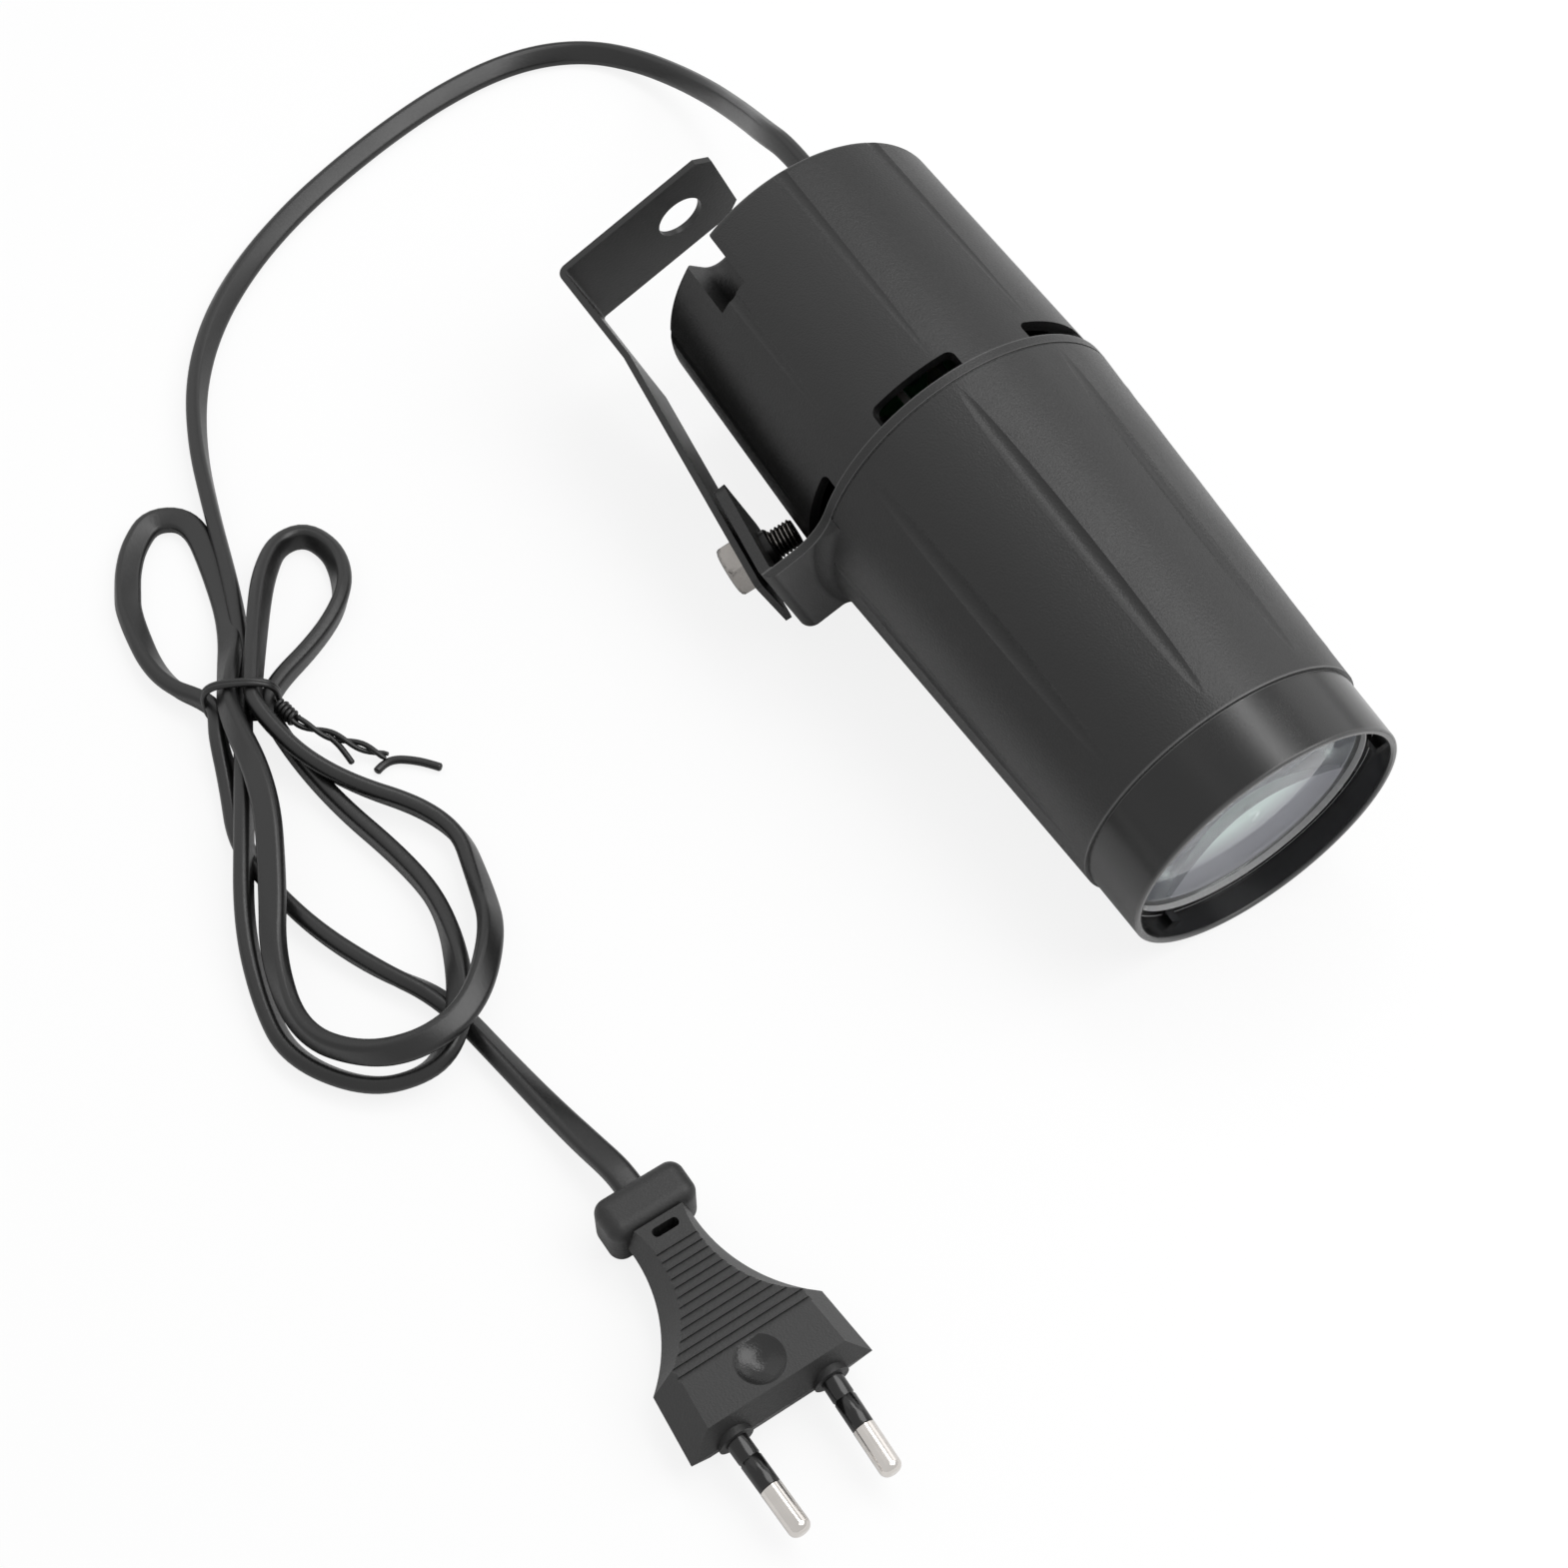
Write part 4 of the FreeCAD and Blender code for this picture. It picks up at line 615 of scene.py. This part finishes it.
class PINSPOT_OT_stage(bpy.types.Operator):
    """Floor, world and soft lights"""
    bl_idname = "pinspot.stage"
    bl_label = "Stage"

    def execute(self, context):
        settings = context.scene.pinspot_stage
        context.scene.view_settings.view_transform = "Standard"
        self.floor(context, settings.floor_colour)
        self.world(context)
        self.lights(context, settings.key_power)
        return {"FINISHED"}

    def floor(self, context, shade):
        """A wide floor that takes the shadow, and is nearly white where it is seen."""
        reach = 3.0
        glow_share = 0.85
        mesh = bpy.data.meshes.new("floor")
        mesh.from_pydata([(-reach, -reach, 0), (reach, -reach, 0), (reach, reach, 0),
                          (-reach, reach, 0)], [], [(0, 1, 2, 3)])
        floor = bpy.data.objects.new("floor", mesh)
        context.scene.collection.objects.link(floor)
        finish = Finish("floor", roughness=0.9)
        finish.shader.inputs["Base Color"].default_value = (*shade, 1)
        camera, through = finish.rays("Is Camera Ray", "Is Transmission Ray")
        glow = finish.node("ShaderNodeEmission", {}, {"Color": WHITE, "Strength": 1.0})
        finish.cover(camera.at_least(through) * glow_share, glow)
        paint(floor, finish.material)

    def world(self, context):
        """White where it is seen, softer as a reflection, and softer still as light."""
        light_strength = 0.45
        glossy_share = 0.64
        world = bpy.data.worlds.new("world")
        context.scene.world = world
        world.use_nodes = True
        sky = Nodes(world.node_tree)
        backdrop = sky.tree.nodes["Background"]
        backdrop.inputs["Color"].default_value = WHITE
        backdrop.inputs["Strength"].default_value = light_strength
        white = sky.node("ShaderNodeBackground", {}, {"Color": WHITE, "Strength": 1.0})
        camera, glossy, through = sky.rays("Is Camera Ray", "Is Glossy Ray", "Is Transmission Ray")
        seen = camera.at_least(glossy * glossy_share).at_least(through)
        mixed = sky.node("ShaderNodeMixShader", {}, {
            0: seen, 1: Tone(sky, backdrop.outputs[0]), 2: white})
        sky.tree.links.new(mixed.socket, sky.tree.nodes["World Output"].inputs[0])

    def lights(self, context, power):
        """Soft lights, each with its place, size and share of the main one's power."""
        aim = Vector((0, -0.03, 0.02))
        for name, place, size, share in (("key light", (0.25, 0.35, 0.75), 0.7, 1.0),
                                         ("top light", (-0.25, 0.2, 0.8), 0.3, 0.2),
                                         ("fill light", (-0.55, -0.25, 0.6), 0.8, 0.15),
                                         ("rim light", (-0.2, 0.7, 0.35), 0.5, 0.12)):
            data = bpy.data.lights.new(name, "AREA")
            data.size = size
            data.energy = power * share
            lamp = bpy.data.objects.new(name, data)
            context.scene.collection.objects.link(lamp)
            lamp.location = place
            lamp.rotation_euler = (aim - lamp.location).to_track_quat("-Z", "Y").to_euler()


class PINSPOT_OT_housing(bpy.types.Operator):
    """Finish the shells, the bezel and their screws"""
    bl_idname = "pinspot.housing"
    bl_label = "Housing"

    def execute(self, context):
        settings = context.scene.pinspot_housing
        # The listed edges of the shells and bezel get painted highlights; the front shell's bore
        # and the bezel's seat are painted pale as light seen through the lens
        finish_node("front_shell", dressed(
            "front housing plastic", settings.shell_shade, 0.42, settings.grain,
            ((joint_edge, 0.0003), (joint_groove, 0.0002), (front_shell_end, 0.0004)),
            lambda along, radius: (along > bore_start) * (
                radius + (along - seam) * bore_taper < bore_radius)))
        finish_node("rear_shell", dressed(
            "rear housing plastic", settings.shell_shade, 0.42, settings.grain, ((0.0, 0.0006),)))
        finish_node("front_bezel", dressed(
            "bezel plastic", settings.bezel_shade, 0.24, 0.000008,
            ((bezel_rim, 0.0007), (bezel_start, 0.0002)),
            lambda along, radius: (along < seat_end) * (radius < seat_radius)))
        finish_node("shell_screws", plated("nickel screw", 0.9, 0.3))
        return {"FINISHED"}


class PINSPOT_OT_optics(bpy.types.Operator):
    """Finish the lens, its ring and gasket and the light source"""
    bl_idname = "pinspot.optics"
    bl_label = "Optics"

    def execute(self, context):
        finish_node("main_lens", self.lens(), 50)
        clear = Finish("moulded optic", roughness=0.3, transmission_weight=1.0, ior=1.5)
        clear.drive("Base Color", clear.blend(
            clear.noise(30, 1.0), (0.8, 0.84, 0.84, 1), (0.86, 0.88, 0.88, 1)))
        finish_node("led_optic", clear.material)
        ring = Finish("spring ring")
        _, radius = ring.about(lamp_frame, 0)
        # Painted highlights: pale lines at the ring's inner and outer edge over its black
        edges = ring.line(radius, ring_inner, 0.00025).at_least(
            ring.line(radius, ring_outer, 0.00022))
        ring.drive("Base Color", ring.blend(edges, colour(0.006), colour(0.8)))
        ring.drive("Roughness", ring.noise(300) * 0.2 + 0.15)
        finish_node("lens_snap_ring", ring.material)
        finish_node("lens_gasket", moulded("gasket rubber", 0.004, 0.5, 0.000002))
        finish_node("optic_holder", moulded("black fittings", 0.02, 0.4, 0.00001))
        finish_node("led_board", moulded("white board", 0.6, 0.5, 0.00001))
        finish_node("led_emitter", moulded("emitter", 0.4, 0.6, 0.00001, warmth=0.2))
        finish_node("heat_sink", plated("bare aluminium", 0.6, 0.4))
        finish_node("board_screws", plated("zinc screw", 0.7, 0.3))
        return {"FINISHED"}

    def lens(self):
        """Glass with a painted reflection drawn in its material: a pale haze of reflected light,
        and the brighter sliver of light that the crowned back would throw forward."""
        sharp = 1500
        soft = 110
        glass = Finish("lens glass", roughness=0.0, transmission_weight=1.0, ior=1.5)
        glass.drive("Base Color", glass.blend(
            glass.noise(30, 1.0), (0.9, 0.97, 0.95, 1), (0.94, 0.98, 0.97, 1)))
        _, side, up = glass.within(lamp_frame)
        radius = (side ** 2 + up ** 2) ** 0.5
        # Masks of the painted reflection: the haze below the sliver, the sliver above its foot, and
        # the clear rim
        below = ((painted_haze_top - side * side * painted_haze_bend - up) * sharp).held()
        above = ((up + painted_sliver_foot - side * side * painted_sliver_bend) * soft).held()
        inner = ((clear_rim - radius) * sharp).held()
        painted_horn = (glass.line(radius, painted_horn_radius, painted_horn_width)
                * glass.line(up, painted_horn_height, painted_horn_spread))
        painted_sliver = (below * above).at_least(painted_horn)
        # Painted reflection: a faint veil over all the glass, stronger in the haze and strongest in
        # the sliver and its horn, laid as a diffuse layer over the glass
        painted_haze = (below * 0.24 + painted_sliver * 0.36 + 0.1) * (inner * 0.92 + 0.08)
        painted_haze_colour = glass.blend(painted_sliver, (0.62, 0.62, 0.68, 1), (0.78, 0.9, 0.87, 1))
        glass.cover(painted_haze, glass.node("ShaderNodeBsdfDiffuse", {}, {"Color": painted_haze_colour}))
        return glass.material


class PINSPOT_OT_electrics(bpy.types.Operator):
    """Finish the driver board and the inner wires"""
    bl_idname = "pinspot.electrics"
    bl_label = "Electrics"

    def execute(self, context):
        finish_node("driver_board", lacquered(
            "circuit board", 700, (0.01, 0.1, 0.03, 1), (0.02, 0.16, 0.05, 1)))
        finish_node("driver_transformer", lacquered(
            "transformer tape", 200, (0.6, 0.38, 0.02, 1), (0.75, 0.5, 0.05, 1)))
        for node, name, shade, rough, warmth in (
                ("driver_capacitors", "capacitor sleeve", 0.03, 0.3, -0.5),
                ("driver_rectifier", "chip", 0.02, 0.35, 0.0),
                ("input_wires", "brown insulation", 0.08, 0.35, 0.5),
                ("led_wires", "red insulation", 0.12, 0.35, 0.8)):
            finish_node(node, moulded(name, shade, rough, 0.00001, warmth=warmth))
        return {"FINISHED"}


class PINSPOT_OT_bracket(bpy.types.Operator):
    """Finish the bracket, its washer and insert, and make the pivot bolt with its thread"""
    bl_idname = "pinspot.bracket"
    bl_label = "Bracket"

    # From the bracket's outer face to the underside of the bolt's head, in millimetres
    under_head = -0.1

    def execute(self, context):
        settings = context.scene.pinspot_bolt
        finish_node("bracket", moulded("bracket paint", 0.006, 0.36, 0.00003, 1800))
        finish_node("pivot_washer", moulded("washer", 0.005, 0.5, 0.00001))
        finish_node("pivot_nut", moulded("black insert", 0.004, 0.3, 0.00001))
        nickel = self.nickel(settings)
        place = pivot_frame @ Matrix.Scale(MM, 4)
        bolt = mesh_piece("pivot_bolt_threaded", LAMP, nickel,
                          lambda form: self.shank(form, settings), place, 40)
        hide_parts("pivot_bolt")
        mesh_piece("pivot_bolt_head", LAMP, nickel,
                   lambda form: self.head(form, settings), place, 30)
        return {"FINISHED"}

    def head(self, form, settings):
        """Hexagon head with a washer face below and crowned corners above."""
        top = self.under_head - settings.head_height
        crown = settings.head_height * 0.34
        across = settings.head_across / 2
        beyond = across * 1.8
        sixth = math.pi / 3
        rings = []
        for along, limit in (
                (self.under_head, across * 0.96), (self.under_head - 0.35, across * 0.98),
                (self.under_head - 0.36, beyond), (top + crown, beyond),
                (top + crown * 0.5, across * 1.06), (top + crown * 0.16, across * 0.96),
                (top, across * 0.84), (top, across * 0.4)):
            ring = []
            for angle, cosine, sine in round_steps(96):
                radius = min(across / math.cos((angle % sixth) - sixth / 2), limit)
                ring.append((radius * cosine, along, radius * sine))
            rings.append(ring_of(form, ring))
        skin(form, rings)

    def shank(self, form, settings):
        """A shank with a real thread that runs out below the head, and a drawn-in tip."""
        steps = 220
        sides = 40
        start = self.under_head
        end = start + settings.thread_length
        plain_length = 0.4
        run_out = 0.5
        tip_length = 0.6
        tip_depth = 0.55
        rings = []
        for step in range(steps + 1):
            along = start + (end - start) * step / steps
            fade = max(0.0, min(1.0, (along - start - plain_length) / run_out))
            tip = max(0.0, (along - end + tip_length) / tip_length)
            ring = []
            for index, (_, cosine, sine) in enumerate(round_steps(sides)):
                place = (along / settings.thread_pitch - index / sides) % 1.0
                tooth = min(1.0, abs(2 * place - 1) * 1.25)
                radius = settings.shank_radius - settings.thread_depth * fade * (1 - tooth)
                radius = min(radius, settings.shank_radius - tip * tip_depth)
                ring.append((radius * cosine, along, radius * sine))
            rings.append(ring_of(form, ring))
        skin(form, rings)

    def nickel(self, settings):
        """Nickel plating, with painted shade darkening the thread's valleys."""
        finish = Finish("nickel bolt", metallic=1.0)
        broad = finish.noise(260, 3.0)
        along, radius = finish.about(pivot_frame, 1)
        depth = settings.shank_radius * MM - radius
        # Painted shade: darker with depth into the thread's valleys, not on the head
        painted_valley_shade = (depth * (1 / (settings.thread_depth * MM))).held()
        on_head = along < self.under_head * MM
        metal = finish.blend(broad, colour(0.2, 0.06), colour(0.34, 0.05))
        finish.drive("Base Color", finish.blend(painted_valley_shade * (1 - on_head), metal, colour(0.02)))
        finish.roughen(0.28, broad, 0.2)
        finish.bump(broad, 0.00002)
        return finish.material


class PINSPOT_OT_cord(bpy.types.Operator):
    """Lay the flat twin cord from its strain relief through the bundle to the plug"""
    bl_idname = "pinspot.cord"
    bl_label = "Mains lead"

    def execute(self, context):
        settings = context.scene.pinspot_cord
        step = 0.0012
        route = smooth_line([Vector(row[:3]) * MM for row in mains_route])
        leans = [lean.x for lean in smooth_line(
            [(row[3], index, 0) for index, row in enumerate(mains_route)])]
        line, length, leans = even_line(route, step, leans)
        profile = self.section(settings)

        def build(form):
            rings = []
            for index, (point, lean) in enumerate(zip(line, leans)):
                ahead = way_ahead(line, index)
                side = ahead.cross(Vector((0, 0, 1))).normalized()
                lift = side.cross(ahead).normalized()
                turn = math.radians(lean)
                across = side * math.cos(turn) + lift * math.sin(turn)
                upward = lift * math.cos(turn) - side * math.sin(turn)
                rings.append(ring_of(form, [point + across * s + upward * u for s, u in profile]))
            skin(form, rings)

        cord = mesh_piece("mains_lead", LAMP, self.sheath(settings.shade), build, None, 50)
        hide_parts("cord_lead", "cord_hank", "cord_tail")
        finish_node("cord_gland", moulded("gland rubber", 0.006, 0.5, 0.00002))
        tie = self.tie(settings)
        on_cord = [tie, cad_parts["plug_body"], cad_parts["plug_pins"], self.sleeves()]
        return {"FINISHED"}

    def section(self, settings):
        """The cord's flat section with rounded edges, as points across and up."""
        corner_steps = 6
        rounding = settings.height / 2 * settings.edge_rounding
        wide = settings.width / 2 - rounding
        high = settings.height / 2 - rounding
        points = []
        for corner, (side, up) in enumerate(((1, 1), (-1, 1), (-1, -1), (1, -1))):
            for index in range(corner_steps + 1):
                angle = math.pi / 2 * (corner + index / corner_steps)
                points.append((side * wide + rounding * math.cos(angle),
                               up * high + rounding * math.sin(angle)))
        return points

    def sheath(self, shade):
        """Soft sheath, slightly uneven from its winding."""
        finish = Finish("cord sheath")
        fine = finish.noise(1400, 3.0)
        broad = finish.noise(60)
        finish.drive("Base Color", finish.blend(
            broad * 0.7 + fine * 0.3, colour(shade * 0.85), colour(shade * 1.2)))
        finish.roughen(0.34, broad, 0.16, fine, 0.12)
        finish.bump(fine * 0.3 + broad, 0.00006)
        return finish.material

    def tie(self, settings):
        """Two turns of covered wire round the bundle, wound off beside it, with a twisted tail
        and two free ends."""
        radius = settings.tie_radius
        turns = 2
        steps = 120
        loop = []
        for index in range(steps + 1):
            angle = turns * 2 * math.pi * index / steps
            across = math.cos(angle)
            up = math.sin(angle)
            power = 2 / (tie_top_form if up > 0 else tie_low_form)
            place = tie_side * (tie_half_width * math.copysign(abs(across) ** power, across))
            place += tie_way * (turns * index / steps - 1) * (radius / MM * 1.1)
            place.z = tie_middle + tie_half_height * math.copysign(abs(up) ** power, up)
            loop.append((tie_centre + place) * MM)

        def points(rows):
            return smooth_line([Vector(row) * MM for row in rows])

        def build(form):
            wire(form, loop, radius)
            twist = points(tie_twist)
            for phase in (0.0, math.pi):
                wire(form, coil(twist, radius, tie_pair_pitch, phase), radius * 0.9)
            wire(form, coil(points(tie_twist[:3]), radius * 1.9, tie_wound_pitch), radius * 0.75)
            wire(form, points(tie_stub), radius)
            wire(form, points(tie_end), radius * 1.35)

        tie = mesh_piece("twist_tie_wound", LAMP,
                         moulded("tie sleeve", 0.006, 0.36, 0.00001), build, None, 60)
        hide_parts("twist_tie")
        return tie

    def sleeves(self):
        """The pins' insulating sleeves, each with a fine ring groove and a drawn-in end."""
        def build(form):
            for side in (-1, 1):
                part = bmesh.new()
                turned(part, sleeve_profile)
                part.transform(Matrix.Translation((0, side * pin_offset, 0))
                               @ Matrix.Rotation(-side * pin_lean, 4, "Z"))
                mesh = bpy.data.meshes.new("sleeve")
                part.to_mesh(mesh)
                part.free()
                form.from_mesh(mesh)
                bpy.data.meshes.remove(mesh)

        sleeves = mesh_piece("pin_sleeves", LAMP,
                             moulded("pin sleeve", 0.004, 0.18, 0.000002), build,
                             plug_frame @ Matrix.Scale(MM, 4), 40)
        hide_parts("plug_sleeves")
        return sleeves


class PINSPOT_OT_plug(bpy.types.Operator):
    """Finish the flat plug and its pins"""
    bl_idname = "pinspot.plug"
    bl_label = "Plug"

    def execute(self, context):
        body = Finish("plug plastic", specular_ior_level=0.45)
        fine = body.noise(2400)
        broad = body.noise(70, 3.0)
        parting = body.line(body.along(2), plug_face.z * MM, 0.00016)
        ahead, side, _ = body.within(plug_frame)
        off_centre = ((ahead + dimple_behind) ** 2 + side ** 2) ** 0.5
        in_dimple = ((dimple_radius - off_centre) * 3000).held()
        tone = body.blend(broad * 0.6 + fine * 0.4, colour(0.01), colour(0.02))
        body.drive("Base Color", body.blend(parting, tone, colour(0.004)))
        body.roughen(0.5 - in_dimple * 0.26, broad, 0.14, fine, 0.12)
        body.bump(fine - parting, 0.00005)
        finish_node("plug_body", body.material, 26)
        finish_node("plug_pins", plated("nickel pin", 0.66, 0.16, 0.000003, 0.05))
        return {"FINISHED"}


class PINSPOT_PT_panel(bpy.types.Panel):
    """The pinspot's pieces in the sidebar"""
    bl_label = "Pinspot light"
    bl_idname = "PINSPOT_PT_panel"
    bl_space_type = "VIEW_3D"
    bl_region_type = "UI"
    bl_category = "Pinspot"

    def draw(self, context):
        for name in steps:
            self.layout.operator("pinspot." + name)


groups = {"pinspot_housing": PinspotHousing, "pinspot_cord": PinspotCord,
          "pinspot_bolt": PinspotBolt, "pinspot_stage": PinspotStage}
operators = (PINSPOT_OT_camera, PINSPOT_OT_stage, PINSPOT_OT_housing, PINSPOT_OT_optics,
             PINSPOT_OT_electrics, PINSPOT_OT_bracket, PINSPOT_OT_cord, PINSPOT_OT_plug)
steps = tuple(operator.bl_idname.split(".")[1] for operator in operators)


def register():
    for name, group in groups.items():
        bpy.utils.register_class(group)
        setattr(bpy.types.Scene, name, bpy.props.PointerProperty(type=group))
    for operator in operators:
        bpy.utils.register_class(operator)
    bpy.utils.register_class(PINSPOT_PT_panel)


def unregister():
    bpy.utils.unregister_class(PINSPOT_PT_panel)
    for operator in reversed(operators):
        bpy.utils.unregister_class(operator)
    for name, group in groups.items():
        delattr(bpy.types.Scene, name)
        bpy.utils.unregister_class(group)


def main():
    register()
    for name in steps:
        getattr(bpy.ops.pinspot, name)()


if __name__ == "__main__":
    main()
